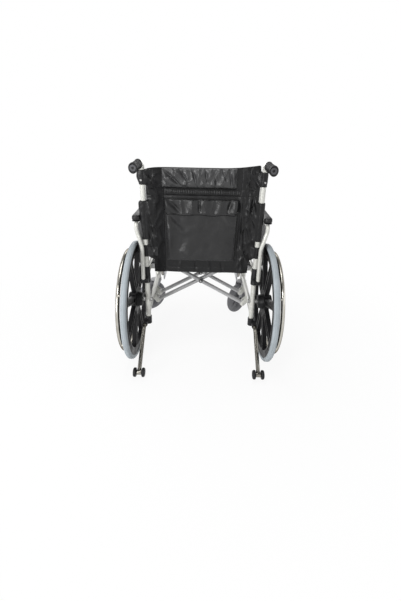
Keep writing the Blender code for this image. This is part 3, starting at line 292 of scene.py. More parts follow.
def emptyTree(owner):
    owner.use_nodes = True
    owner.node_tree.nodes.clear()
    return owner.node_tree


def addNode(tree, kind, settings=None, links=None):
    # a link comes from a socket, or from a node's first output
    node = tree.nodes.new("ShaderNode" + kind)
    for key, value in (settings or {}).items():
        if isinstance(key, int) or key in node.inputs:
            node.inputs[key].default_value = value
        else:
            setattr(node, key, value)
    for key, source in (links or {}).items():
        tree.links.new(getattr(source, "outputs", [source])[0], node.inputs[key])
    return node


def newFinish(name, slot, dark, light, settings, patches, wear, relief, ends=(0.3, 0.7), scuff=None):
    # patches: noise that drifts between the two shades; wear: scale and detail of the noise that drifts between the
    # lowest and the highest roughness, and these two
    # relief: rows of texture, its settings, bump strength and distance, the finest first; two settings are crossed
    material = bpy.data.materials.new(name)
    slotOf[name] = slot
    tree = emptyTree(material)
    place = {"Vector": addNode(tree, "TexCoord").outputs["Object"]}
    drift = addNode(tree, "TexNoise", patches, place)
    colour = addNode(tree, "ValToRGB", links={"Fac": drift})
    for stop, position, code in zip(colour.color_ramp.elements, ends, (dark, light)):
        stop.position = position
        stop.color = linearColour(code)
    rubbed = addNode(tree, "TexNoise", {"Scale": wear[0], "Detail": wear[1]}, place)
    roughness = addNode(tree, "MapRange", {"From Min": 0.3, "From Max": 0.7, "To Min": wear[2], "To Max": wear[3]},
                        {"Value": rubbed})
    under = {}
    for kind, looks, strength, distance in relief:
        heights = [addNode(tree, kind, look, place) for look in looks]
        height = heights[0]
        if len(heights) > 1:
            height = addNode(tree, "Math", {"operation": "MULTIPLY"},
                             {i: h.outputs["Fac"] for i, h in enumerate(heights)})
        bump = addNode(tree, "Bump", {"Strength": strength, "Distance": distance}, {"Height": height, **under})
        under = {"Normal": bump}
    if scuff:
        amount = addNode(tree, "MapRange", {"From Min": 0.55, "From Max": 0.72, "To Max": 0.35}, {"Value": height})
        scuffed = addNode(tree, "Mix", {"data_type": "RGBA", 7: linearColour(scuff)}, {"Factor": amount, 6: colour})
        colour = scuffed.outputs[2]
    shader = addNode(tree, "BsdfPrincipled", settings, {"Base Color": colour, "Roughness": roughness, **under})
    addNode(tree, "OutputMaterial", links={"Surface": shader})
    return material


def paintedSteel(name, slot, dark, light):
    # metallic paint: fine flake, a little orange peel from the spray gun, and dull rubbed places
    coat = {"Metallic": 0.15, "IOR": 1.5, "Coat Weight": 0.3, "Coat Roughness": 0.18}
    return newFinish(name, slot, dark, light, coat, {"Scale": 900.0, "Detail": 1.0}, (14.0, 3.0, 0.23, 0.40),
                     [("TexNoise", [{"Scale": 320.0, "Detail": 1.0}], 0.12, 0.0004)])


def platedSteel(name, slot, dark, light, roughLow, roughHigh, edge):
    # bright plating: nearly a mirror, with hazy wiped patches and hairlines; its edge tint makes it darker where it is
    # seen edge-on, standing in for dark surroundings reflected there: painted reflection
    return newFinish(name, slot, dark, light, {"Metallic": 1.0, "Specular Tint": linearColour(edge)},
                     {"Scale": 22.0, "Detail": 3.0}, (35.0, 4.0, roughLow, roughHigh),
                     [("TexNoise", [{"Scale": 500.0, "Detail": 2.0}], 0.04, 0.0002)])


def mouldedPlastic(name, slot, dark, light, roughness, grainMm, strength, gloss=0.3):
    # spark-eroded mould: an even fine grain, a little shinier where hands and shoes rub it
    return newFinish(name, slot, dark, light, {"IOR": 1.5, "Specular IOR Level": gloss}, {"Scale": 30.0, "Detail": 4.0},
                     (20.0, 3.0, roughness - 0.08, roughness + 0.1),
                     [("TexVoronoi", [{"Scale": 1000.0 / grainMm}], strength, 0.0004)])


def tyreRubber(name, slot, dark, light, scuff):
    # cast polyurethane: smooth and satin, with pale scuffs and grey dust from the floor
    return newFinish(name, slot, dark, light, {"IOR": 1.5, "Specular IOR Level": 0.35}, {"Scale": 9.0, "Detail": 5.0},
                     (40.0, 3.0, 0.46, 0.66),
                     [("TexNoise", [{"Scale": 70.0, "Detail": 6.0, "Roughness": 0.7}], 0.15, 0.0004)],
                     (0.25, 0.75), scuff)


def wovenNylon(name, dark, light, threadMm, roughness, gloss, sheen, crumpleHeight):
    # coated nylon pack cloth: plain weave, a waxy sheen on the folds
    # real threads are 0.3 mm apart and would not show, so they are drawn wider
    turns = 1000.0 / threadMm / 20.0 * math.pi
    return newFinish(name, "black_cloth", dark, light,
                     {"IOR": 1.5, "Sheen Weight": sheen, "Sheen Roughness": 0.4, "Specular IOR Level": gloss},
                     {"Scale": 18.0, "Detail": 5.0}, (30.0, 3.0, roughness - 0.06, roughness + 0.1),
                     [("TexWave", [{"bands_direction": way, "Scale": turns} for way in "XZ"], 0.22, 0.0004),
                      ("TexNoise", [{"Scale": 42.0, "Detail": 3.0, "Distortion": 0.8}], 0.4, crumpleHeight)])


silverPaint = paintedSteel("silverPaintedSteel", "silver_paint", "#c8c8c2", "#dadad4")
# the brace and the seat rails get a darker copy of the silver paint, standing in for the shade under the seat: painted
# shade
silverPaintPaintedShade = paintedSteel("silverPaintedSteelPaintedShade", "brace_paint", "#aeaeaf", "#c4c4c5")
# the last colour of each is the edge tint: a painted reflection of dark surroundings at the edges
chromePlate = platedSteel("chromePlatedSteel", "chrome", "#aeaaa1", "#cfccc4", 0.10, 0.24, "#68625a")
# the stabiliser and footrest tubes get a darker, browner copy of the chrome, standing in for the brownish reflections
# on them: painted reflection
tubeChromeBrownReflection = platedSteel("dullChromePaintedBrownReflection", "chrome", "#8b8881", "#a6a39c", 0.14, 0.30, "#2a2620")
zincPlate = platedSteel("zincPlatedSteel", "zinc", "#a8a8a8", "#c9c9c7", 0.25, 0.45, "#8c8c8c")
blackNylon = mouldedPlastic("blackMouldedNylon", "black_nylon", "#131315", "#1c1c1f", 0.42, 0.8, 0.18)
gripRubber = mouldedPlastic("blackGripRubber", "black_rubber", "#131314", "#1d1d1e", 0.50, 0.6, 0.25, 0.32)
wheelNylon = mouldedPlastic("blackGlassFilledNylon", "black_nylon", "#0c0c0e", "#161618", 0.42, 1.1, 0.15, 0.18)
greyPlug = mouldedPlastic("greyMouldedPlug", "black_rubber", "#47474a", "#58585b", 0.4, 0.9, 0.1)
greyNylon = mouldedPlastic("greyMouldedNylon", "caster_plastic", "#9a9a9d", "#b2b2b5", 0.45, 0.9, 0.15)
casterNylon = mouldedPlastic("darkGreyMouldedNylon", "caster_plastic", "#69696c", "#7d7d81", 0.45, 0.9, 0.15)
panelPlastic = mouldedPlastic("blackPanelPlastic", "black_nylon", "#141416", "#1f1f22", 0.5, 1.4, 0.35)
sewingThread = mouldedPlastic("darkPolyesterThread", "black_cloth", "#3a3a3c", "#4c4c4e", 0.6, 0.5, 0.1)
blueGreyTyre = tyreRubber("blueGreyPolyurethane", "grey_tyre", "#979fa4", "#adb5ba", "#c6c9cc")
casterTyre = tyreRubber("greyPolyurethane", "caster_tyre", "#707073", "#848488", "#a0a0a3")
backNylon = wovenNylon("blackCoatedNylon", "#0f0f10", "#181819", 1.4, 0.36, 0.29, 0.05, 0.005)
pocketNylon = wovenNylon("blackSmoothNylon", "#131314", "#1b1b1c", 1.4, 0.36, 0.48, 0.06, 0.0016)
# the top roll's nylon is drawn lighter than the rest of the black cloth, standing in for the sheen that light gives the
# roll: painted sheen
rollNylonPaintedSheen = wovenNylon("blackShinyNylonPaintedSheen", "#262627", "#3b3b3c", 1.4, 0.36, 0.56, 0.1, 0.002)
bandNylon = wovenNylon("blackWovenBand", "#0e0e0f", "#161617", 2.0, 0.6, 0.16, 0.04, 0.0006)
# foam-backed vinyl skin: leather-like pebbles about a millimetre across
padVinyl = newFinish("blackGrainedVinyl", "pad_vinyl", "#141415", "#202021", {"IOR": 1.5, "Specular IOR Level": 0.35},
                     {"Scale": 25.0, "Detail": 4.0}, (60.0, 3.0, 0.38, 0.58),
                     [("TexVoronoi", [{"Scale": 750.0, "feature": "SMOOTH_F1"}], 0.3, 0.0005)])
# cast and tumbled aluminium: matt, pitted, slightly brighter where shoes polish it
plateMetal = newFinish("castAluminium", "footplate_metal", "#a5a5a7", "#c0c0c2", {"Metallic": 0.7},
                       {"Scale": 60.0, "Detail": 5.0}, (18.0, 3.0, 0.32, 0.55),
                       [("TexNoise", [{"Scale": 700.0, "Detail": 3.0}], 0.3, 0.0005)])
print("materials made")


camera = {"lens": 19.956, "pitch": 0.370, "yaw": -0.001, "roll": 0.0226, "shift": -0.0641, "aside": 0.0047,
          "behind": 1.5626, "height": 1.1259}
cameraData = bpy.data.cameras.new("photoCamera")
cameraData.sensor_width = 36.0
cameraData.lens = camera["lens"]
cameraData.shift_y = camera["shift"]
cameraObject = newObject("photoCamera", cameraData)
aim = Matrix.Rotation(math.pi + camera["yaw"], 4, "Z") @ Matrix.Rotation(math.pi / 2 - camera["pitch"], 4, "X")
aim = aim @ Matrix.Rotation(camera["roll"], 4, "Z")
cameraPlace = (chair["middleX"] + camera["aside"], chair["axleY"] + camera["behind"], camera["height"])
cameraObject.matrix_world = Matrix.Translation(cameraPlace) @ aim
bpy.context.scene.camera = cameraObject

lampPlan = {  # name: (place, power, size, aimed at)
    "keySoftbox": ((1.9, 2.5, 0.85), 40.0, 0.8, (0.0, 0.2, 0.65)),
    "highSoftbox": ((0.9, 2.3, 2.2), 16.0, 0.7, (0.0, 0.2, 0.6)),
    "overheadSoftbox": ((0.3, 0.3, 2.9), 28.0, 1.6, (0.0, 0.1, 0.4)),
    "fillSoftbox": ((-2.2, 1.2, 1.2), 3.0, 1.2, (0.0, 0.1, 0.5)),
    "frontSoftbox": ((0.3, -2.3, 1.5), 16.0, 1.8, (0.0, 0.0, 0.5)),
}
for lampName, (place, power, size, target) in lampPlan.items():
    lampData = bpy.data.lights.new(lampName, "AREA")
    lampData.energy = power
    lampData.size = size
    lamp = newObject(lampName, lampData)
    lamp.visible_camera = False
    lampAim = (Vector(target) - Vector(place)).to_track_quat("-Z", "Y").to_matrix().to_4x4()
    lamp.matrix_world = Matrix.Translation(place) @ lampAim

# white all round; mirror rays see it up to 25 degrees above the horizon, then it darkens to the studio's ceiling
bpy.context.scene.world = bpy.data.worlds.new("studio")
tree = emptyTree(bpy.context.scene.world)
rays = addNode(tree, "LightPath").outputs
height = addNode(tree, "SeparateXYZ", links={"Vector": addNode(tree, "TexCoord").outputs["Generated"]}).outputs["Z"]
backdrop = addNode(tree, "MapRange", {"From Min": 0.42, "From Max": 0.70, "To Min": 1.0, "To Max": 0.25},
                   {"Value": height})
mirrored = addNode(tree, "Math", {"operation": "MULTIPLY"}, {0: rays["Is Glossy Ray"], 1: backdrop})
ambient = addNode(tree, "Math", {"operation": "MULTIPLY", 1: 0.45}, {0: rays["Is Diffuse Ray"]})
level = rays["Is Camera Ray"]
for other in (rays["Is Transmission Ray"], mirrored, ambient):
    level = addNode(tree, "Math", {"operation": "MAXIMUM"}, {0: level, 1: other})
sky = addNode(tree, "Background", {"Color": (1.0, 1.0, 1.0, 1.0)}, {"Strength": level})
addNode(tree, "OutputWorld", links={"Surface": sky})

floorMaterial = bpy.data.materials.new("studioFloor")
tree = emptyTree(floorMaterial)
matt = addNode(tree, "BsdfDiffuse", {"Color": (0.86, 0.86, 0.86, 1.0)})
glow = addNode(tree, "Emission", {"Color": (1.0, 1.0, 1.0, 1.0), "Strength": 1.0})
# the floor's own white takes over with distance, so that no horizon shows
spread = addNode(tree, "VectorMath", {"operation": "LENGTH"}, {0: addNode(tree, "TexCoord").outputs["Object"]})
share = addNode(tree, "MapRange", {"From Min": 0.5, "From Max": 1.6, "To Min": 0.90, "To Max": 1.0,
                                   "interpolation_type": "SMOOTHSTEP"}, {"Value": spread.outputs["Value"]})
# but only for the camera's own rays and for mirror and glass rays, not for the light that reaches the object
rays = addNode(tree, "LightPath").outputs
direct = rays["Is Camera Ray"]
for way, other in (("MAXIMUM", rays["Is Glossy Ray"]), ("MAXIMUM", rays["Is Transmission Ray"]), ("MULTIPLY", share)):
    direct = addNode(tree, "Math", {"operation": way}, {0: direct, 1: other})
blendFloor = addNode(tree, "MixShader", links={0: direct, 1: matt, 2: glow})
addNode(tree, "OutputMaterial", links={"Surface": blendFloor})
floorShape = bmesh.new()
bmesh.ops.create_grid(floorShape, x_segments=1, y_segments=1, size=30.0)
floorMesh = bpy.data.meshes.new("studioFloor")
floorShape.to_mesh(floorMesh)
floorShape.free()
floorMesh.materials.append(floorMaterial)
studioFloor = newObject("studioFloor", floorMesh)
bpy.context.scene.view_settings.view_transform = "Standard"
print("camera, lamps and floor set")


cane = {"foot": 0.185, "tip": 0.990, "reach": 0.160, "splay": 0.006, "leanBend": 0.20, "topBend": 0.035}
cane["corner"] = cane["tip"] + cane["reach"] * math.sin(chair["lean"])  # the handle is square to the leaning cane
grip = {"flange": 0.0182, "waist": 0.0165, "length": 0.100, "tall": 1.22, "rings": 9, "steps": 56, "wall": 0.004}
grip["face"] = grip["length"] - 0.0022  # where the end plug sits
lugs = {"pivotZ": 0.205, "inner": 0.0123, "plate": 0.004, "eye": 0.014, "rear": 0.170, "front": 0.287, "step": 0.023}


def caneCorner(side):
    return Vector((caneX(side), chair["axleY"] + leanAt(cane["corner"]), cane["corner"]))


def handleTip(side):
    return caneCorner(side) + Vector((side * cane["splay"], cane["reach"] * math.cos(chair["lean"]),
                                      cane["tip"] - cane["corner"]))


def caneRoute(side):
    foot = Vector((caneX(side), chair["axleY"], cane["foot"]))
    bend = Vector((foot.x, foot.y, chair["leanFrom"]))
    lower = bentRoute((foot, bend, caneCorner(side)), cane["leanBend"], 4)
    upper = bentRoute((lower[-2], caneCorner(side), handleTip(side)), cane["topBend"], 14)
    return lower[:-1] + upper[1:]


def gripProfile():
    # starts and ends on the axis: the closed end's inner face, the bore, the ringed outside and the end face
    inner, end, flange, waist = chair["tube"] + slip, grip["length"], grip["flange"], grip["waist"]
    profile = [(0.0, end - grip["wall"]), (inner, end - grip["wall"]), (inner, 0.0), (flange, 0.0), (flange, 0.005)]
    first, last = 0.010, end - 0.015
    for i in range(grip["rings"]):
        along = first + (last - first) * i / (grip["rings"] - 1)
        profile += [(waist - 0.0011, along - 0.0034), (waist + 0.0004, along - 0.0012),
                    (waist + 0.0004, along + 0.0012)]
    return profile + [(waist, end - 0.0115), (flange, end - 0.0095), (flange, end - 0.001), (flange - 0.0012, end),
                      (0.0150, end), (0.0142, grip["face"]), (0.0, grip["face"])]


def weldBead(x, y, towards):
    # the saddle-shaped bead where the lower rail meets an upright tube of the same size
    radius = chair["tube"]
    route = []
    for k in range(36):
        turn = 2 * math.pi * k / 36
        across = radius * math.cos(turn)
        depth = math.sqrt(max(0.0, radius ** 2 - across ** 2))
        z = chair["lowerRailZ"] + radius * math.sin(turn)
        route.append(Vector((x + across, y + towards * (depth + 0.0004), z)))
    return tubeShape(route, 0.0015, 10, loop=True)


def railX(side, distance):
    return atX(side, chair["halfWidth"] + (chair["postHalfWidth"] - chair["halfWidth"]) * distance / chair["postAhead"])


def armAhead(place, side):
    # in the rear cross the arm in front has its foot on the left, in the front cross on the right
    return lugs[place] + (lugs["step"] if (side > 0) == (place == "rear") else 0)


def lugShapes(side):
    # two plates and a pin hold the foot of each brace arm under the lower rail
    shapes = []
    pivot = (atX(side, chair["seatRailX"]), lugs["pivotZ"])
    outer = lugs["inner"] + lugs["plate"]
    head = outer + 0.003
    pin = bothSides([(0.004, outer), (0.007, outer), (0.007, head - 0.0015), (0.005, head), (0.0, head)])
    for distance in (armAhead("rear", side), armAhead("front", side)):
        outline = roundedBar((railX(side, distance), chair["lowerRailZ"]), 0.0115, pivot, lugs["eye"])
        for low, high in ((-outer, -lugs["inner"]), (lugs["inner"], outer)):
            shapes.append(slabShape(outline, "XZ", ahead(distance) + low, ahead(distance) + high, 0.0006))
        shapes.append(latheShape(pin, (pivot[0], ahead(distance), pivot[1]), (0, 1, 0), 24))
    return shapes


for side, label in sides:
    sidePiece(label, "BackCane", [tubeShape(caneRoute(side), chair["tube"], 36)], silverPaint, "frame", "back_cane")
    along = (handleTip(side) - caneCorner(side)).normalized()
    base = handleTip(side) + along * (grip["wall"] + slip - grip["length"])
    seated = Matrix.Translation(base) @ Vector((0, 1, 0)).rotation_difference(along).to_matrix().to_4x4()
    sleeve = latheShape(softCorners(gripProfile(), 0.0007, 2, False), (0, 0, 0), (0, 1, 0), grip["steps"])
    outside = [v for v in sleeve.verts if math.hypot(v.co.x, v.co.z) > (chair["tube"] + grip["waist"]) / 2]
    bmesh.ops.scale(sleeve, vec=(1, 1, grip["tall"]), verts=outside)
    sidePiece(label, "HandleGrip", [moved(sleeve, seated)], gripRubber, "frame", "handle_grip")
    face = grip["face"]
    plug = latheShape([(0.0, face - 0.0006), (0.0135, face - 0.0006), (0.0135, face + 0.0008), (0.0120, face + 0.0014),
                       (0.0058, face + 0.0014), (0.0052, face - 0.0002), (0.0, face - 0.0002)],
                      (0, 0, 0), (0, 1, 0), 40, 0.0003)
    sidePiece(label, "GripEnd", [moved(plug, seated)], greyPlug, "frame")
    x, z = caneX(side), chair["lowerRailZ"]
    postX, postY = railX(side, chair["postAhead"]), ahead(chair["postAhead"])
    rail = tubeShape([(x, chair["axleY"] - 0.004, z), (postX, postY + 0.004, z)], chair["tube"], 36)
    beads = [weldBead(x, chair["axleY"], -1), weldBead(postX, postY + 0.0045, 1)]
    sidePiece(label, "LowerRail", [rail, *beads, *lugShapes(side)], silverPaint, "frame", "lower_rail")
    for node, material, bevel in (
        ("seat_frame_rail", silverPaint, 0.0005), ("front_post", silverPaint, 0.0005),
        ("rear_axle", zincPlate, 0.0005), ("armrest_hinge", blackNylon, 0.0008), ("armrest_latch", blackNylon, 0.0006),
        ("brake_mount", blackNylon, 0.0008), ("anti_tip_socket", blackNylon, 0.0008),
    ):
        cadCopy(label, node, material, "frame", bevel)
print("side frames dressed")


brace = {"tube": 0.011, "centreZ": 0.342, "eye": 0.015, "eyeHalf": 0.012, "railFront": 0.455, "railRear": 0.035}


def braceHalf(side):
    # the half of the brace that has its feet on this side
    return "brace_a" if side > 0 else "brace_b"


for place in ("rear", "front"):
    for side, label in sides:
        y = ahead(armAhead(place, side))
        foot = Vector((atX(side, chair["seatRailX"]), y, lugs["pivotZ"]))
        top = Vector((atX(-side, chair["seatRailX"]), y, chair["seatRailZ"]))
        along = (top - foot).normalized()
        arm = tubeShape([foot + along * 0.013, top - along * 0.006], brace["tube"], 32)
        eye = latheShape(bothSides([(brace["eye"], brace["eyeHalf"]), (pinBore, brace["eyeHalf"])]), foot, (0, 1, 0),
                         36, 0.0006)
        newPiece(f"{place}ArmFrom{label.title()}", [arm, eye], silverPaintPaintedShade, braceHalf(side), f"cross_arm_{place}_{label}")
    bolt = Vector((chair["middleX"], ahead(lugs[place]), brace["centreZ"]))
    rear = brace["tube"] + slip
    front = -(lugs["step"] + rear)
    shank = [(0.0, front - 0.006), (0.006, front - 0.006), (0.007, front - 0.004), (0.007, front), (0.004, front),
             (0.004, rear), (0.0052, rear), (0.0060, rear + 0.001), (0.0056, rear + 0.0036), (0.0035, rear + 0.0048),
             (0.0, rear + 0.005)]
    newPiece(place + "BraceBolt", [latheShape(shank, bolt, (0, 1, 0), 30, 0.0004)], zincPlate, "brace_a",
             f"cross_bolt_{place}")
    washer = [(0.0062, rear - 0.004), (0.0108, rear - 0.004), (0.0108, rear + 0.0018), (0.0062, rear + 0.0022)]
    newPiece(place + "BraceWasher", [latheShape(washer, bolt, (0, 1, 0), 32, 0.0005)], blackNylon, "brace_a")
length = brace["railFront"] - brace["railRear"]
bar = [(0.0, 0.0), (0.009, 0.0), (0.011, 0.002), (0.011, length - 0.002), (0.009, length), (0.0, length)]
for side, label in sides:
    start = (atX(side, chair["seatRailX"]), ahead(brace["railFront"]), chair["seatRailZ"])
    newPiece(label + "SeatRail", [latheShape(bar, start, (0, 1, 0), 36)], silverPaintPaintedShade, braceHalf(-side),
             label + "_seat_rail")
print("cross brace made")


wheel = {"offset": 0.064, "rim": 0.285, "rimHalf": 0.0125, "rimInner": 0.252, "web": 0.0112, "tyreRadius": 0.305,
         "tyreHalf": 0.014, "hub": 0.042, "hubOut": 0.033, "hubIn": 0.0367, "bore": 0.0066, "spokes": 8,
         "spokeWidth": 0.036, "windowIn": 0.066, "windowOut": 0.2485, "sunkFrom": 0.086, "sunkTo": 0.232,
         "sunkFace": 0.0058, "reach": 0.05, "steps": 128}
handrim = {"radius": 0.2575, "tube": 0.0095, "offset": 0.034, "posts": 6, "postRing": 0.264}


def wheelProfile():
    web, half, out, hub = wheel["web"], wheel["rimHalf"], wheel["hubOut"], wheel["hub"]
    outer = [(wheel["rimInner"], web), (0.2555, half), (0.2600, half), (0.2615, half - 0.0022), (0.2755, half - 0.0022),
             (0.2770, half), (wheel["rim"] - 0.0002, half)]
    inner = [(r, -a) for r, a in reversed(outer)]
    hubOuter = [(wheel["bore"], out), (0.0175, out), (0.0190, 0.0310), (0.0285, 0.0310), (0.0300, out), (0.0335, out),
                (0.0362, 0.0305), (0.0385, 0.0150), (hub, web)]
    hubInner = [(hub, -web), (0.0335, -0.0345), (0.0310, -wheel["hubIn"]), (wheel["bore"], -wheel["hubIn"])]
    return hubOuter + outer + inner + hubInner


def turnedAbout(centre, angle):
    return Matrix.Translation(centre) @ Matrix.Rotation(angle, 4, "X") @ Matrix.Translation(-Vector(centre))


def windowOutline(centre):
    # the opening between two spokes that lies straight above the hub, as (y, z) points
    outline = []
    step = 2 * math.pi / wheel["spokes"]
    for radius, direction, count in ((wheel["windowIn"], 1, 1), (wheel["windowOut"], -1, 10)):
        half = step / 2 - math.asin(wheel["spokeWidth"] / 2 / radius)
        for i in range(count + 1):
            turn = math.pi / 2 + direction * half * (2 * i / count - 1)
            outline.append((centre.y + radius * math.cos(turn), centre.z + radius * math.sin(turn)))
    return softCorners(outline, 0.012, 4)


def magWheel(centre, axis):
    # windows are cut between the spokes, and a shallow channel in both faces of each spoke
    cutters = []
    channel = roundedBar((centre.y, centre.z + wheel["sunkFrom"]), 0.0095, (centre.y, centre.z + wheel["sunkTo"]),
                         0.0110, 8)
    for i in range(wheel["spokes"]):
        window = slabShape(windowOutline(centre), "YZ", centre.x - wheel["reach"], centre.x + wheel["reach"])
        cutters.append(moved(window, turnedAbout(centre, 2 * math.pi * i / wheel["spokes"])))
        for face in (1, -1):
            low, high = sorted((centre.x + face * wheel["sunkFace"], centre.x + face * wheel["reach"]))
            sunk = slabShape(channel, "YZ", low, high)
            cutters.append(moved(sunk, turnedAbout(centre, 2 * math.pi * (i + 0.5) / wheel["spokes"])))
    return carved(latheShape(wheelProfile(), centre, axis, wheel["steps"]), cutters)


seat, outer, half = wheel["rim"] + slip, wheel["tyreRadius"], wheel["tyreHalf"]
tyreTread = roundTread([
    (outer, 0.0), (outer - 0.0001, 0.0034), (outer - 0.0012, 0.0040), (outer - 0.0012, 0.0048),
    (outer - 0.0004, 0.0054), (outer - 0.0016, 0.0082), (outer - 0.0045, half - 0.0028), (seat + 0.011, half - 0.0004),
    (seat + 0.006, half), (seat + 0.002, half - 0.0006), (seat, 0.0125)])
ringProfile = [(handrim["radius"] + handrim["tube"] * math.cos(2 * math.pi * k / 20),
                handrim["tube"] * math.sin(2 * math.pi * k / 20)) for k in range(20)]
start = wheel["rimHalf"] + slip - handrim["offset"]
post = [(0.0, start), (0.0082, start), (0.0082, start + 0.0020), (0.0050, start + 0.0036), (0.0048, -0.006),
        (0.0044, -0.003), (0.0, -0.003)]
for side, label in sides:
    centre = Vector((caneX(side, wheel["offset"]), chair["axleY"], chair["axleZ"]))
    axis = (side, 0, 0)
    roundEdges(sidePiece(label, "MagWheel", [magWheel(centre, axis)], wheelNylon, "wheel", "rear_wheel"), 0.0009)
    tyre = latheShape(tyreTread, centre, axis, wheel["steps"], 0.0010)
    sidePiece(label, "Tyre", [tyre], blueGreyTyre, "wheel", "tyre", smoothAngle=60)
    ringPlace = centre + Vector((side * handrim["offset"], 0, 0))
    parts = [latheShape(ringProfile, ringPlace, axis, 160)]
    for i in range(handrim["posts"]):
        turn = 2 * math.pi * (i + 0.5) / handrim["posts"]
        spot = ringPlace + Vector((0, math.cos(turn), math.sin(turn))) * handrim["postRing"]
        parts.append(latheShape(post, spot, axis, 20, 0.0005))
    sidePiece(label, "Handrim", parts, chromePlate, "wheel", "handrim", smoothAngle=60)
print("rear wheels made")


caster = {"radius": 0.100, "half": 0.016, "rim": 0.076, "trail": 0.052, "hub": 0.017, "forkSide": 0.0115,
          "swivel": {"left": 55, "right": 40}}
radius, rim, half, seat = caster["radius"], caster["rim"], caster["half"], caster["rim"] + slip
casterProfile = bothSides([(rim, 0.0125), (rim - 0.003, 0.0130), (rim - 0.009, 0.0115), (rim - 0.014, 0.0045),
                           (0.030, 0.0045), (0.019, 0.006), (caster["hub"], 0.016), (0.014, 0.0183), (0.0054, 0.0183)])
casterTread = roundTread([(radius, 0.0), (radius - 0.0006, 0.0055), (radius - 0.0025, 0.0105),
                          (radius - 0.0065, half - 0.0012), (radius - 0.012, half), (seat + 0.005, half - 0.001),
                          (seat, 0.0125)])
outer = half + caster["forkSide"]
cap = [(0.0, outer + 0.0022), (0.0052, outer + 0.0014), (0.0088, outer - 0.0004), (0.0088, outer - 0.0032),
       (0.0, outer - 0.0032)]
for side, label in sides:
    stem = Vector((atX(side, chair["postHalfWidth"]), ahead(chair["postAhead"]), 0))
    swivel = Matrix.Rotation(-math.radians(caster["swivel"][label]), 4, "Z")
    swivel = Matrix.Translation(stem) @ swivel @ Matrix.Translation(-stem)
    centre = stem + Vector((0, caster["trail"], radius))
    parts = [latheShape(casterProfile, centre, (1, 0, 0), 72, 0.001)]
    ribOutline = [(centre.y + y, centre.z + z) for y, z in
                  ((-0.0022, 0.016), (0.0022, 0.016), (0.0022, rim - 0.009), (-0.0022, rim - 0.009))]
    for i in range(6):  # stiffening ribs on both faces
        rib = slabShape(ribOutline, "YZ", centre.x - 0.0105, centre.x + 0.0105, 0.0008)
        parts.append(moved(rib, turnedAbout(centre, math.pi * i / 3)))
    tyre = latheShape(casterTread, centre, (1, 0, 0), 96, 0.0012)
    # a dark cap nut on each end of the wheel's axle
    nuts = [latheShape([(r, face * a) for r, a in cap], centre, (1, 0, 0), 24, 0.0006) for face in (1, -1)]
    for shape in (*parts, tyre, *nuts):
        moved(shape, swivel)
    sidePiece(label, "CasterWheel", parts, casterNylon, "caster_roller", "caster_wheel")
    sidePiece(label, "CasterTyre", [tyre], casterTyre, "caster_roller", "caster_tyre", smoothAngle=60)
    cadCopy(label, "caster_fork", greyNylon, "caster", 0.0008)
    sidePiece(label, "CasterCapNuts", nuts, blackNylon, "caster")
print("casters made")


armrest = {"tube": 0.0095, "legOut": 0.014, "topOut": 0.038, "hingeZ": 0.425, "hingeY": 0.031, "flareLow": 0.600,
           "flareHigh": 0.690, "topZ": 0.722, "frontAhead": 0.315, "footZ": 0.4675, "bend": 0.032}
pad = {"half": 0.0195, "height": 0.0255, "plate": 0.0030, "rearAhead": -0.0435, "frontAhead": 0.3425, "round": 0.018,
       "pressure": 4.0, "swell": 0.0022, "voxel": 0.0035, "frames": 20}


def armrestRoute(legX, topX, rear):
    front = ahead(armrest["frontAhead"])
    leg = bentRoute(((legX, rear, armrest["hingeZ"]), (legX, rear, armrest["flareLow"]),
                     (topX, rear, armrest["flareHigh"]), (topX, rear, armrest["topZ"] + 0.05)), 0.05, 4)
    bow = bentRoute((leg[-2], (topX, rear, armrest["topZ"]), (topX, front, armrest["topZ"]),
                     (topX, front, armrest["footZ"])), armrest["bend"], 10)
    return leg[:-1] + bow[1:]


def padOutline(middle, inset):
    # half width at each place along the pad, round at both ends
    length = pad["frontAhead"] - pad["rearAhead"]
    outline = []
    for direction in (1, -1):
        for i in range(49):
            along = length * (i if direction > 0 else 48 - i) / 48
            end = min(along, length - along)
            share = 1 - max(0.0, 1 - end / pad["round"]) ** 2
            outline.append((middle + direction * (pad["half"] - inset) * (0.45 + 0.55 * math.sqrt(share)),
                            ahead(pad["rearAhead"] + along)))
    return outline


def swellPad(piece, floorZ):
    # lets the skin swell over its foam; no point moves further than pad["swell"], and the underside stays flat
    skin = newObject("swelling", piece.data.copy())
    even = skin.modifiers.new("even", "REMESH")
    even.mode = "VOXEL"
    even.voxel_size = pad["voxel"]
    evenMesh = finalMesh(skin)
    skin.modifiers.clear()
    skin.data = evenMesh
    cloth = skin.modifiers.new("skin", "CLOTH")
    cloth.settings.use_pressure = True
    cloth.settings.uniform_pressure_force = pad["pressure"]
    cloth.settings.effector_weights.gravity = 0.0
    cloth.point_cache.frame_start = 1
    cloth.point_cache.frame_end = pad["frames"]
    for step in range(1, pad["frames"] + 1):
        bpy.context.scene.frame_set(step)
    swelled = finalMesh(skin)
    for point, start in zip(swelled.vertices, evenMesh.vertices):
        shift = point.co - start.co
        if shift.length > pad["swell"]:
            point.co = start.co + shift * pad["swell"] / shift.length
        point.co.z = max(point.co.z, floorZ)
    bpy.data.objects.remove(skin, do_unlink=True)
    bpy.context.scene.frame_set(1)
    swelled.materials.clear()
    swelled.materials.append(piece.data.materials[0])
    swelled.shade_smooth()
    piece.data = swelled


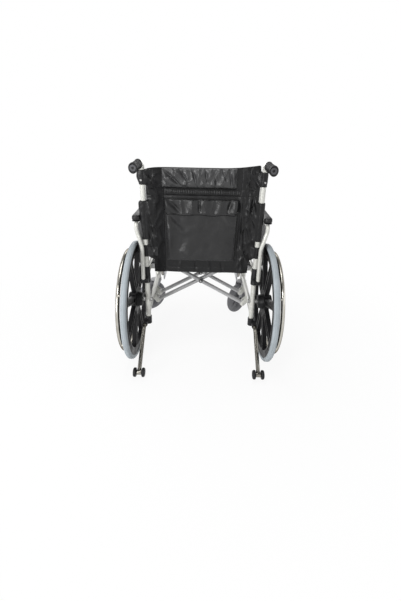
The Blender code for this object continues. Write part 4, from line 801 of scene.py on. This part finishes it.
knuckle = bothSides([(0.0128, 0.0075), (0.0105, 0.010), (pinBore, 0.010)])
for side, label in sides:
    legX, topX = caneX(side, armrest["legOut"]), caneX(side, armrest["topOut"])
    hingeY = chair["axleY"] + armrest["hingeY"]
    tube = tubeShape(armrestRoute(legX, topX, hingeY), armrest["tube"], 28)
    sidePiece(label, "ArmrestTube", [tube], silverPaint, "armrest", "armrest_frame")
    sidePiece(label, "ArmrestKnuckle", [latheShape(knuckle, (legX, hingeY, armrest["hingeZ"]), (1, 0, 0), 40, 0.0008)],
              blackNylon, "armrest", "armrest_frame")
    base = armrest["topZ"] + armrest["tube"] + slip
    plate = slabShape(padOutline(topX, 0.0012), "XY", base, base + pad["plate"], 0.0006)
    sidePiece(label, "PadBase", [plate], panelPlastic, "armrest", "armrest_pad")
    bottom = base + pad["plate"] - 0.0004
    foam = slabShape(padOutline(topX, 0.0), "XY", bottom, bottom + pad["height"], 0.0085, 5)
    padPiece = sidePiece(label, "ArmrestPad", [foam], padVinyl, "armrest", "armrest_pad", smoothAngle=80)
    swellPad(padPiece, bottom)
    smoother = padPiece.modifiers.new("smoother", "SUBSURF")
    smoother.levels = 1
    smoother.render_levels = 1
    low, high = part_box(label + "_side_panel")
    rear, front, bend = high.y, low.y, armrest["bend"]
    outline = [(rear, low.z + 0.03), (rear, high.z)]
    for k in range(9):
        turn = math.pi / 2 * (1 + k / 8)
        outline.append((front + bend * (1 + math.cos(turn)), high.z - bend * (1 - math.sin(turn))))
    outline += [(front, low.z), (rear - 0.03, low.z)]
    guard = slabShape(outline, "YZ", low.x, high.x, 0.0006)
    faces = [f for f in guard.faces if abs(f.normal.x) > 0.99 and f.calc_area() > 0.01]
    for thickness, depth in ((0.012, 0.0), (0.0015, -0.0007)):  # a flat margin, then a pressed step
        bmesh.ops.inset_individual(guard, faces=faces, thickness=thickness, depth=depth)
    sidePiece(label, "ClothesGuard", [guard], panelPlastic, "armrest", "side_panel")
print("armrests made")


brake = {"handleAhead": 0.432, "handleZ": 0.600, "pivotAhead": 0.395, "pivotZ": 0.440, "planeX": 0.321,
         "knobLow": 0.056}
knob = [(0.0, 0.0), (0.0066, 0.0), (0.0098, 0.006), (0.0094, 0.016), (0.0099, 0.026), (0.0094, 0.036), (0.0099, 0.046),
        (0.0097, 0.062), (0.0070, 0.0705), (0.0, 0.0715)]
lean = Vector((0, brake["pivotAhead"] - brake["handleAhead"], brake["handleZ"] - brake["pivotZ"])).normalized()
for side, label in sides:
    cadCopy(label, "brake_lever", zincPlate, "brake", 0.0004)
    handle = Vector((atX(side, brake["planeX"]), ahead(brake["handleAhead"]), brake["handleZ"]))
    base = handle - lean * brake["knobLow"]
    sidePiece(label, "BrakeKnob", [latheShape(knob, base, lean, 32, 0.001)], gripRubber, "brake")
print("brakes made")


tip = {"tube": 0.0095, "offset": 0.014, "socketZ": 0.180, "wheelZ": 0.040, "wheelBehind": 0.255, "wheel": 0.0225,
       "near": 0.012, "far": 0.028}
near, far, r = tip["near"], tip["far"], tip["wheel"]
tipEye = bothSides([(0.0115, 0.011), (0.0034, 0.011)])
tipWheels = bothSides([
    (0.003, near), (0.009, near), (r - 0.004, near + 0.001), (r - 0.0008, near + 0.003), (r, near + 0.007),
    (r - 0.0008, far - 0.003), (r - 0.005, far), (0.012, far - 0.001), (0.010, far - 0.0025), (0.0, far - 0.0025)])
for side, label in sides:
    x, y = caneX(side, tip["offset"]), chair["axleY"]
    tipPlace = (x, y + tip["wheelBehind"], tip["wheelZ"])
    route = bentRoute(((x, y + 0.0263, tip["socketZ"]), (x, y + 0.075, tip["socketZ"]), tipPlace), 0.045, 8)
    parts = [tubeShape(route, tip["tube"], 28), latheShape(tipEye, tipPlace, (1, 0, 0), 36, 0.0008)]
    sidePiece(label, "AntiTipTube", parts, tubeChromeBrownReflection, "frame", "anti_tip_tube")
    sidePiece(label, "AntiTipWheels", [latheShape(tipWheels, tipPlace, (1, 0, 0), 48, 0.001)], blackNylon, "anti_tip",
              "anti_tip_wheels", slotName="black_rubber")
print("stabilisers made")


hanger = {"tube": 0.011, "ahead": 0.515, "low": 0.300, "top": 0.490, "drop": 0.085, "bend": 0.030, "footZ": 0.130,
          "reach": 0.805, "run": 0.078, "stopZ": 0.4553}
stop = [(0.0105, 0.0), (0.0140, 0.0), (0.0140, 0.006), (0.0105, 0.006)]
for side, label in sides:
    x, swing = atX(side, chair["postHalfWidth"]), ahead(hanger["ahead"])
    route = bentRoute(((x, swing, hanger["low"]), (x, swing, hanger["top"]), (x, swing - hanger["drop"], hanger["top"]),
                       (x, ahead(hanger["reach"] - hanger["run"]), hanger["footZ"]),
                       (x, ahead(hanger["reach"]) + 0.006, hanger["footZ"])), hanger["bend"], 8)
    parts = [tubeShape(route, hanger["tube"], 28), latheShape(stop, (x, swing, hanger["stopZ"]), (0, 0, 1), 32, 0.0008)]
    sidePiece(label, "FootrestHanger", parts, tubeChromeBrownReflection, "hanger", "footrest_hanger")
    cadCopy(label, "footplate", plateMetal, "foot", 0.001)
    low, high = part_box(label + "_footplate")
    nearX = x - side * 0.014
    ribLow, ribHigh = sorted((nearX - side * 0.0006, nearX + side * 0.0008))
    ribs = []
    for i in range(9):  # non-slip ribs on the face that the shoe stands on
        y = low.y + 0.028 + i * 0.0118
        outline = roundedBar((y, hanger["footZ"] + 0.030), 0.0016, (y, high.z - 0.020), 0.0016, 6)
        ribs.append(slabShape(outline, "YZ", ribLow, ribHigh, 0.0003, 1))
    sidePiece(label, "FootplateRibs", ribs, plateMetal, "foot")
print("footrests made")


back = {"hem": 0.465, "top": 0.972, "crown": 0.009, "cornerRise": 0.024, "narrow": 0.234, "wide": 0.2600,
        "wideFrom": 0.533, "wideTo": 0.545, "thick": 0.0016, "edge": 0.2553, "sag": 0.006, "keep": 0.295,
        "seams": (0.8875, 0.855), "hemSeam": 0.4925, "patch": 0.0012, "flap": 0.0014}
sleeves = (  # (foot, top, thickness, outward bulge on the left, on the right, how far up it bulges most)
    (0.903, 0.968, 0.0024, 0.0095, 0.0015, 0.55), (0.639, 0.829, 0.0020, 0.0085, 0.0020, 0.92),
    (0.549, 0.609, 0.0020, 0.0010, 0.0010, 0.5))


def inMetres(rows):
    return [[value / 1000 for value in row] for row in rows]


# each fold is (x, z, x, z, half width, height) along a line on the cloth, in millimetres
rollFolds = inMetres((
    (170, 940, 112, 902, 9, 4), (174, 968, 98, 900, 8, -6), (176, 925, 150, 900, 5, -3), (130, 978, 92, 930, 8, 5.2),
    (104, 972, 66, 915, 5, -4.5), (78, 978, 70, 935, 9, 4.5), (66, 945, 82, 900, 6, 3.5), (45, 965, 28, 900, 5, -4.2),
    (20, 978, 22, 930, 9, 4.5), (8, 940, -4, 900, 6, 3), (-10, 972, -22, 905, 5, -4.2), (-36, 978, -26, 935, 8, 4.6),
    (-52, 955, -62, 902, 5, -3.6), (-70, 978, -44, 910, 8, 4.2), (-86, 972, -104, 930, 5, -4.2),
    (-108, 975, -78, 905, 8, 4.6), (-120, 960, -128, 905, 4, -3.6), (-134, 975, -140, 915, 7, 4.5),
))
panelFolds = inMetres((
    (244, 815, 234, 690, 13, 6.2), (256, 760, 232, 650, 7, -4), (236, 700, 232, 600, 7, 4),
    (262, 700, 246, 640, 7, -3.5), (262, 945, 212, 905, 8, 5), (262, 915, 205, 872, 8, -3.5),
    (258, 885, 230, 840, 8, 3.5), (205, 860, 226, 780, 8, 2.5), (-176, 865, -192, 690, 7, 5),
    (-186, 820, -178, 600, 6, -4.5), (-222, 865, -212, 740, 8, 5.5), (-212, 800, -262, 700, 8, 5),
    (-236, 845, -226, 770, 5, -4.5), (-248, 835, -262, 770, 7, 4.5), (-216, 720, -236, 640, 7, 4.2),
    (-200, 690, -208, 600, 6, -3.6), (-188, 600, -232, 530, 9, 4), (-205, 560, -180, 500, 8, 3),
    (190, 640, 228, 560, 9, 3.2), (205, 545, 180, 480, 9, 2.4), (100, 530, 108, 470, 6, 2.2),
    (30, 528, 26, 470, 5, -2), (-36, 530, -46, 470, 6, 2.4), (-100, 525, -106, 470, 6, -1.8),
    (-215, 960, -255, 905, 9, 5), (-200, 930, -236, 885, 6, -3.5),
))
flapFolds = inMetres((
    (170, 822, 128, 778, 16, 5.8), (158, 838, 108, 782, 10, -6), (90, 838, 80, 785, 14, -2), (50, 838, 46, 778, 12, 4),
    (16, 838, 15, 776, 6, -5.8), (-20, 838, -16, 778, 16, 3), (-60, 800, -52, 778, 10, -2.4),
    (-86, 838, -82, 780, 14, 3), (-116, 780, -134, 836, 8, -5.4), (-146, 785, -152, 830, 13, 5),
))
pocketFolds = inMetres((
    (152, 700, 154, 560, 14, 4), (112, 740, 104, 560, 30, -4.6), (145, 765, 90, 705, 10, 2.6),
    (150, 745, 112, 690, 8, -2.6), (-112, 740, -112, 570, 55, 4), (-100, 770, -140, 715, 10, 2.2),
    (20, 600, 60, 545, 18, -1.8), (-60, 575, -130, 548, 14, -1.6),
))


def smooth(value):
    value = max(0.0, min(1.0, value))
    return value * value * (3 - 2 * value)


def foldLift(folds, x, z):
    lift = 0.0
    for x0, z0, x1, z1, width, height in folds:
        along = Vector((x1 - x0, z1 - z0))
        t = max(0.0, min(1.0, ((x - x0) * along.x + (z - z0) * along.y) / along.length_squared))
        gap = math.hypot(x - x0 - along.x * t, z - z0 - along.y * t)
        if gap < 3 * width:
            lift += height * math.exp(-(gap / width) ** 1.7) * (0.35 + 0.65 * math.sin(math.pi * (0.12 + 0.76 * t)))
    return lift


def crumple(x, z, size, height):
    return height * noise.noise(Vector((x / size, 3.1, z / size)))


def creases(x, z, size, height, seed):
    # sharp-backed wrinkles: a noise folded at its zero line
    bent = x + 0.25 * size * noise.noise(Vector((z / size, seed, x / size)))
    return height * (1 - min(1.0, 2.4 * abs(noise.noise(Vector((bent / size, seed + 7.3, z / size / 1.6)))))) ** 2


def topEdge(x):
    # the top edge is crowned and climbs towards the right cane
    if abs(x) > back["edge"]:
        return back["top"]
    share = x / back["edge"]
    return back["top"] + back["crown"] * (1 - abs(share) ** 8) + back["cornerRise"] * max(0.0, -share) ** 4


def held(z):
    # 1 where a sleeve holds the cloth to the canes, 0 between the sleeves
    return max(smooth((z - low + 0.004) / 0.008) * smooth((high - z + 0.004) / 0.008) for low, high, *_ in sleeves)


def flatBack(x, z):
    # rear face of the cloth without its folds: it leans with the canes and hangs a little slack between them
    return chair["axleY"] + leanAt(z) + back["sag"] * (1 - min(1.0, (x / chair["halfWidth"]) ** 2))


def backSurface(x, z):
    inside = smooth((back["wide"] - abs(x)) / 0.012)
    lift = (1.9 * foldLift(panelFolds, x, z) + crumple(x, z, 0.05, 0.0022)) * inside
    lift += creases(x, z, 0.040, 0.0042, 1.7) * smooth((abs(x) - 0.17) / 0.03) * inside
    lift += 0.0128 * held(z) * smooth((abs(x) - 0.236) / 0.026)
    for seam in back["seams"]:  # rows of sewing below the roll pull the cloth in
        lift -= 0.0030 * math.exp(-((z - seam) / 0.0026) ** 2) * inside
    if abs(x) < 0.17:  # the casing between them is gathered
        lift += (0.0035 + 0.0018 * math.sin(x * 640 + 2 * math.sin(x * 50))) * math.exp(-((z - 0.871) / 0.010) ** 4)
    lift -= 0.0022 * math.exp(-((z - back["hemSeam"]) / 0.002) ** 2)
    return flatBack(x, z) + lift


def thickened(piece, thickness, offset):
    wall = piece.modifiers.new("thickness", "SOLIDIFY")
    wall.thickness = thickness
    wall.offset = offset
    return piece


def clothPatch(name, columns, rows, place, material, thick):
    # a grid laid over the cloth by place(u, v), with u and v from -1 to 1, then given its thickness
    shape = bmesh.new()
    bmesh.ops.create_grid(shape, x_segments=columns, y_segments=rows, size=1.0)
    for v in shape.verts:
        v.co = Vector(place(v.co.x, v.co.y))
    piece = newPiece(name, [shape], material, None, smoothAngle=75)
    return thickened(piece, thick, -1.0 if piece.data.polygons[0].normal.y > 0 else 1.0)


def squashed(piece):
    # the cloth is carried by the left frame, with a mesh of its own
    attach(piece, "left_frame")
    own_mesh(piece)
    return piece


def stitching(name, rows, surface):
    # rows of thread, each (x, z, x, z); a stitch is 3.4 mm long, wider than real thread so that it shows
    template = bmesh.new()
    bmesh.ops.create_uvsphere(template, u_segments=6, v_segments=4, radius=1.0)
    stitch = bpy.data.meshes.new("stitch")
    template.to_mesh(stitch)
    template.free()
    whole = bmesh.new()
    for x0, z0, x1, z1 in rows:
        count = int(math.hypot(x1 - x0, z1 - z0) / 0.0046)
        turn = Matrix.Rotation(-math.atan2(z1 - z0, x1 - x0), 4, "Y")
        for i in range(count):
            share = (i + 0.5) / count
            x, z = x0 + (x1 - x0) * share, z0 + (z1 - z0) * share
            before = len(whole.verts)
            whole.from_mesh(stitch)
            whole.verts.ensure_lookup_table()
            spot = Matrix.Translation((chair["middleX"] + x, surface(x, z) + 0.0003, z))
            bmesh.ops.transform(whole, matrix=spot @ turn @ Matrix.Diagonal((0.0017, 0.0005, 0.0005, 1)),
                                verts=whole.verts[before:])
    bpy.data.meshes.remove(stitch)
    return squashed(newPiece(name, [whole], sewingThread, None))


def binding(name, route, radius):
    # folded tape sewn over a raw edge; it shows as a thin dark line, and under the top roll and along the pocket lid's
    # free edge it also stands in for the shade that those edges cast: painted shade
    return squashed(newPiece(name, [tubeShape(route, radius, 12)], bandNylon, None))


def alongBack(x0, x1, z, out):
    return [Vector((chair["middleX"] + x, backSurface(x, z(x)) + out, z(x)))
            for x in (x0 + (x1 - x0) * k / 80 for k in range(81))]


def panelPlace(u, v):
    share = (v + 1) / 2
    z = back["hem"] + (back["top"] - back["hem"]) * share
    wide = smooth((z - back["wideFrom"]) / (back["wideTo"] - back["wideFrom"]))
    half = back["narrow"] + (back["wide"] - back["narrow"]) * wide + 0.008 * held(z) * wide
    x = u * half
    z += (topEdge(x) - back["top"]) * smooth((share - 0.8) / 0.2)
    curl = 0.003 * smooth((back["hem"] + 0.012 - z) / 0.012)
    return chair["middleX"] + x, backSurface(x, z) - curl, z


panel = squashed(clothPatch("backPanel", 190, 190, panelPlace, backNylon, back["thick"]))
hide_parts("back_upholstery")
topBinding = binding("topBinding", alongBack(0.250, -0.250, lambda x: topEdge(x) - 0.0008, -0.0008), 0.0019)
rows = [(-0.222, back["hemSeam"], 0.222, back["hemSeam"])] + [(-0.160, z, 0.186, z) for z in (*back["seams"], 0.849)]
hemThread = stitching("hemThread", rows, backSurface)


def puffPlace(patch, folds):
    # a gathered or filled patch that stands off the back, fuller and less even towards its foot
    middle, half = (patch["x0"] + patch["x1"]) / 2, (patch["x1"] - patch["x0"]) / 2

    def place(u, v):
        x = middle + u * half
        top = patch["z1"] + (topEdge(x) - back["top"] - back["crown"] if patch["z1"] > 0.95 else 0.0)
        z = (patch["z0"] + top) / 2 + v * (top - patch["z0"]) / 2
        rim = min((1 - abs(u)) * half, (1 - abs(v)) * (patch["z1"] - patch["z0"]) / 2)
        rise = math.sqrt(max(0.0, 1 - (1 - min(1.0, rim / patch["soft"])) ** 2))
        lift = patch["height"] * (1 - patch["heavy"] * v) + patch["gain"] * foldLift(folds, x, z)
        lift += crumple(x, z, 0.11, patch["swell"]) * (1 - v) / 2
        lift = lift + crumple(x, z, 0.035, patch["wrinkle"]) + creases(x, z, 0.030, patch["sharp"], 4.2)
        return chair["middleX"] + x, flatBack(x, z) + 0.0008 + rise * max(0.0015, lift), z
    return place


def bandPlace(x0, x1):
    def place(u, v):
        x = (x0 + x1) / 2 + u * (x1 - x0) / 2
        low = back["hem"] + 0.001
        z = low + (topEdge(x) - 0.001 - low) * (v + 1) / 2
        return chair["middleX"] + x, backSurface(x, z) + 0.0012 + 0.0008 * (1 - u ** 4), z
    return place


for name, x0, x1, cloth in (("leftBackBand", 0.178, 0.222, bandNylon), ("rightBackBand", -0.211, -0.176, backNylon)):
    band = squashed(clothPatch(name, 16, 150, bandPlace(x0, x1), cloth, 0.0010))
    thread = stitching(name + "Thread", [(x, 0.475, x, 0.965) for x in (x0 + 0.004, x1 - 0.004)],
                       lambda x, z: backSurface(x, z) + 0.0016)

rollPatch = {"x0": -0.153, "x1": 0.186, "z0": 0.894, "z1": 0.980, "soft": 0.024, "heavy": 0.25, "swell": 0.0,
             "height": 0.0125, "gain": 1.7, "wrinkle": 0.0030, "sharp": 0.0040}
roll = squashed(clothPatch("backTopRoll", 190, 70, puffPlace(rollPatch, rollFolds), rollNylonPaintedSheen, back["patch"]))
# dark tape under the roll: partly binding, partly painted shade under the roll
rollBindingAndShade = binding("rollBindingAndShade", alongBack(0.184, -0.151, lambda x: 0.8900, 0.0030), 0.0022)

pocketPatch = {"x0": -0.165, "x1": 0.171, "z0": 0.531, "z1": 0.790, "soft": 0.016, "heavy": 0.1, "swell": 0.009,
               "height": 0.0100, "gain": 2.1, "wrinkle": 0.0022, "sharp": 0.0006}
pocketPlace = puffPlace(pocketPatch, pocketFolds)
pocket = squashed(clothPatch("pocketPouch", 120, 96, pocketPlace, pocketNylon, back["patch"]))
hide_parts("back_pocket")


def onPocket(x, z):
    u = (x - (pocketPatch["x0"] + pocketPatch["x1"]) / 2) / ((pocketPatch["x1"] - pocketPatch["x0"]) / 2)
    v = (z - (pocketPatch["z0"] + pocketPatch["z1"]) / 2) / ((pocketPatch["z1"] - pocketPatch["z0"]) / 2)
    return pocketPlace(u, v)[1]


pocketThread = stitching("pocketThread", [(-0.158, 0.538, 0.164, 0.538), (-0.158, 0.538, -0.158, 0.765),
                                          (0.164, 0.538, 0.164, 0.765)], onPocket)

flapPatch = {"x0": -0.167, "x1": 0.177, "z0": 0.768, "z1": 0.842, "soft": 0.010, "heavy": 0.2, "swell": 0.0,
             "height": 0.0135, "gain": 1.7, "wrinkle": 0.0020, "sharp": 0.0022}
flapFlat = puffPlace(flapPatch, flapFolds)


def flapPlace(u, v):
    # the free lower edge stands over the pocket, with round corners
    x, y, z = flapFlat(u, v)
    loose = smooth((0.800 - z) / 0.03)
    corner = smooth((abs(u) - 0.90) / 0.10) * smooth((-v - 0.2) / 0.8)
    wave = 0.0025 * math.sin(9 * u + 1.0) * (1 - v) / 2
    return x, max(y, flatBack(x - chair["middleX"], z) + 0.0175 * loose), z + wave + 0.018 * corner


flap = squashed(clothPatch("pocketLid", 140, 44, flapPlace, pocketNylon, back["flap"]))
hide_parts("pocket_flap")
flapEdge = [(0.995, 1 - 2 * k / 20) for k in range(1, 20)]
flapEdge += [(0.995 - 1.99 * k / 70, -0.995) for k in range(71)]
flapEdge += [(-0.995, -1 + 2 * k / 20) for k in range(1, 20)]
# dark tape along the lid's free edge: partly binding, partly the lid's painted shadow on the pocket
flapBindingAndShadow = binding("flapBindingAndShadow", [Vector(flapPlace(u, v)) for u, v in flapEdge], 0.0017)


def strapPlace(u, v):
    # a patch sewn over the lowest sleeve on the left, where the belt is fixed
    x, z = 0.2385 + 0.0255 * u, 0.5775 + 0.0225 * v
    return chair["middleX"] + x, backSurface(x, z) + 0.0035 + crumple(x, z, 0.02, 0.0006), z


strapPatch = squashed(clothPatch("strapPatch", 28, 26, strapPlace, pocketNylon, back["flap"]))
print("back cloth made")


screw = {"dome": 0.0042, "cup": 0.0056, "out": 0.0022, "z": 0.923, "outboard": 0.004}
screwEdge = [(0.0, -0.0010), (screw["cup"], -0.0010), (screw["cup"] - 0.0010, 0.0006), (screw["dome"], 0.0012)]
backHead = screwEdge + [(screw["dome"] - 0.0008, 0.0020), (0.0026, screw["out"]), (0.0022, 0.0012), (0.0, 0.0012)]
seatHead = screwEdge + [(screw["dome"] - 0.0008, 0.0018), (0.0, 0.0020)]
washer = [(0.0, -0.0016), (0.0098, -0.0016), (0.0098, -0.0006), (0.0085, -0.0001), (0.0, -0.0001)]
for side, label in sides:
    x = caneX(side)
    for i, (low, high, wall, leftBulge, rightBulge, peak) in enumerate(sleeves):
        bulge = leftBulge if side > 0 else rightBulge
        shape = bmesh.new()
        bmesh.ops.create_grid(shape, x_segments=44, y_segments=max(14, int((high - low) / 0.004)), size=0.5)
        for v in shape.verts:
            share = v.co.y + 0.5
            z = low + (high - low) * share
            turn = math.tau * (v.co.x + 0.5)
            outwards = max(0.0, math.cos(turn) * side)
            pucker = 0.0012 * noise.noise(Vector((math.cos(turn) * 1.5, math.sin(turn) * 1.5, z * 55 + i * 7 + side)))
            fullness = smooth(share / peak)
            if share >= peak:
                fullness = math.sqrt(1 - ((share - peak) / (1 - peak + 1e-6)) ** 2)
            radius = chair["tube"] + 0.0006 + wall + pucker + bulge * outwards ** 2 * fullness
            v.co = Vector((x + radius * math.cos(turn), chair["axleY"] + leanAt(z) + radius * math.sin(turn), z))
        sleeve = newPiece(f"{label}Sleeve{i}", [shape], backNylon, label + "_frame", "back_upholstery", smoothAngle=75)
        thickened(sleeve, back["thick"], -1.0)
    z = screw["z"]
    spot = Vector((x + side * screw["outboard"], chair["axleY"] + leanAt(z) + chair["tube"] + 0.0027, z))
    outward = (0, math.cos(chair["lean"]), -math.sin(chair["lean"]))
    sidePiece(label, "BackScrew", [latheShape(backHead, spot, outward, 24, 0.0003)], zincPlate, "frame")
    sidePiece(label, "BackWasher", [latheShape(washer, spot, outward, 28, 0.0002)], blackNylon, "frame")
print("sleeves and screws made")


seat = {"front": 0.450, "rear": 0.045, "radius": 0.0145, "wrap": 78, "sag": 0.014, "thick": 0.0034, "screws": 5}


def seatPlace(u, v):
    # flat and a little slack between the rails, then wrapped round each rail by seat["wrap"] degrees
    flat = chair["seatRailX"]
    reach = abs(u) * (flat + math.radians(seat["wrap"]) * seat["radius"])
    side = math.copysign(1.0, u)
    if reach > flat:
        turn = math.radians(90) - (reach - flat) / seat["radius"]
        x = flat + seat["radius"] * math.cos(turn)
        z = chair["seatRailZ"] + seat["radius"] * math.sin(turn)
    else:
        x = reach
        slack = 1 - (x / flat) ** 2
        z = chair["seatRailZ"] + seat["radius"] - seat["sag"] * slack
        z += (crumple(side * x, v * 0.2, 0.05, 0.0014) + creases(side * x, v * 0.2, 0.06, 0.0012, 2.6)) * slack
    y = (ahead(seat["front"]) + ahead(seat["rear"])) / 2 + v * (seat["front"] - seat["rear"]) / 2
    for hem in (0.93, -0.93):
        z -= 0.0008 * math.exp(-((v - hem) / 0.012) ** 2)
    return chair["middleX"] + side * x, y, z


seatCloth = clothPatch("seatCloth", 130, 100, seatPlace, backNylon, seat["thick"])
seatCloth.modifiers["thickness"].offset = 0.0
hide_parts("seat_sling")
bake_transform(seatCloth)
top = chair["seatRailZ"] + seat["radius"] + seat["thick"] / 2
for side, label in sides:
    heads = []
    for i in range(seat["screws"]):
        distance = seat["rear"] + 0.03 + (seat["front"] - seat["rear"] - 0.06) * i / (seat["screws"] - 1)
        heads.append(latheShape(seatHead, (atX(side, chair["seatRailX"]), ahead(distance), top), (0, 0, 1), 24, 0.0003))
    newPiece(label + "SeatScrews", heads, zincPlate, braceHalf(-side))
print("seat cloth made")
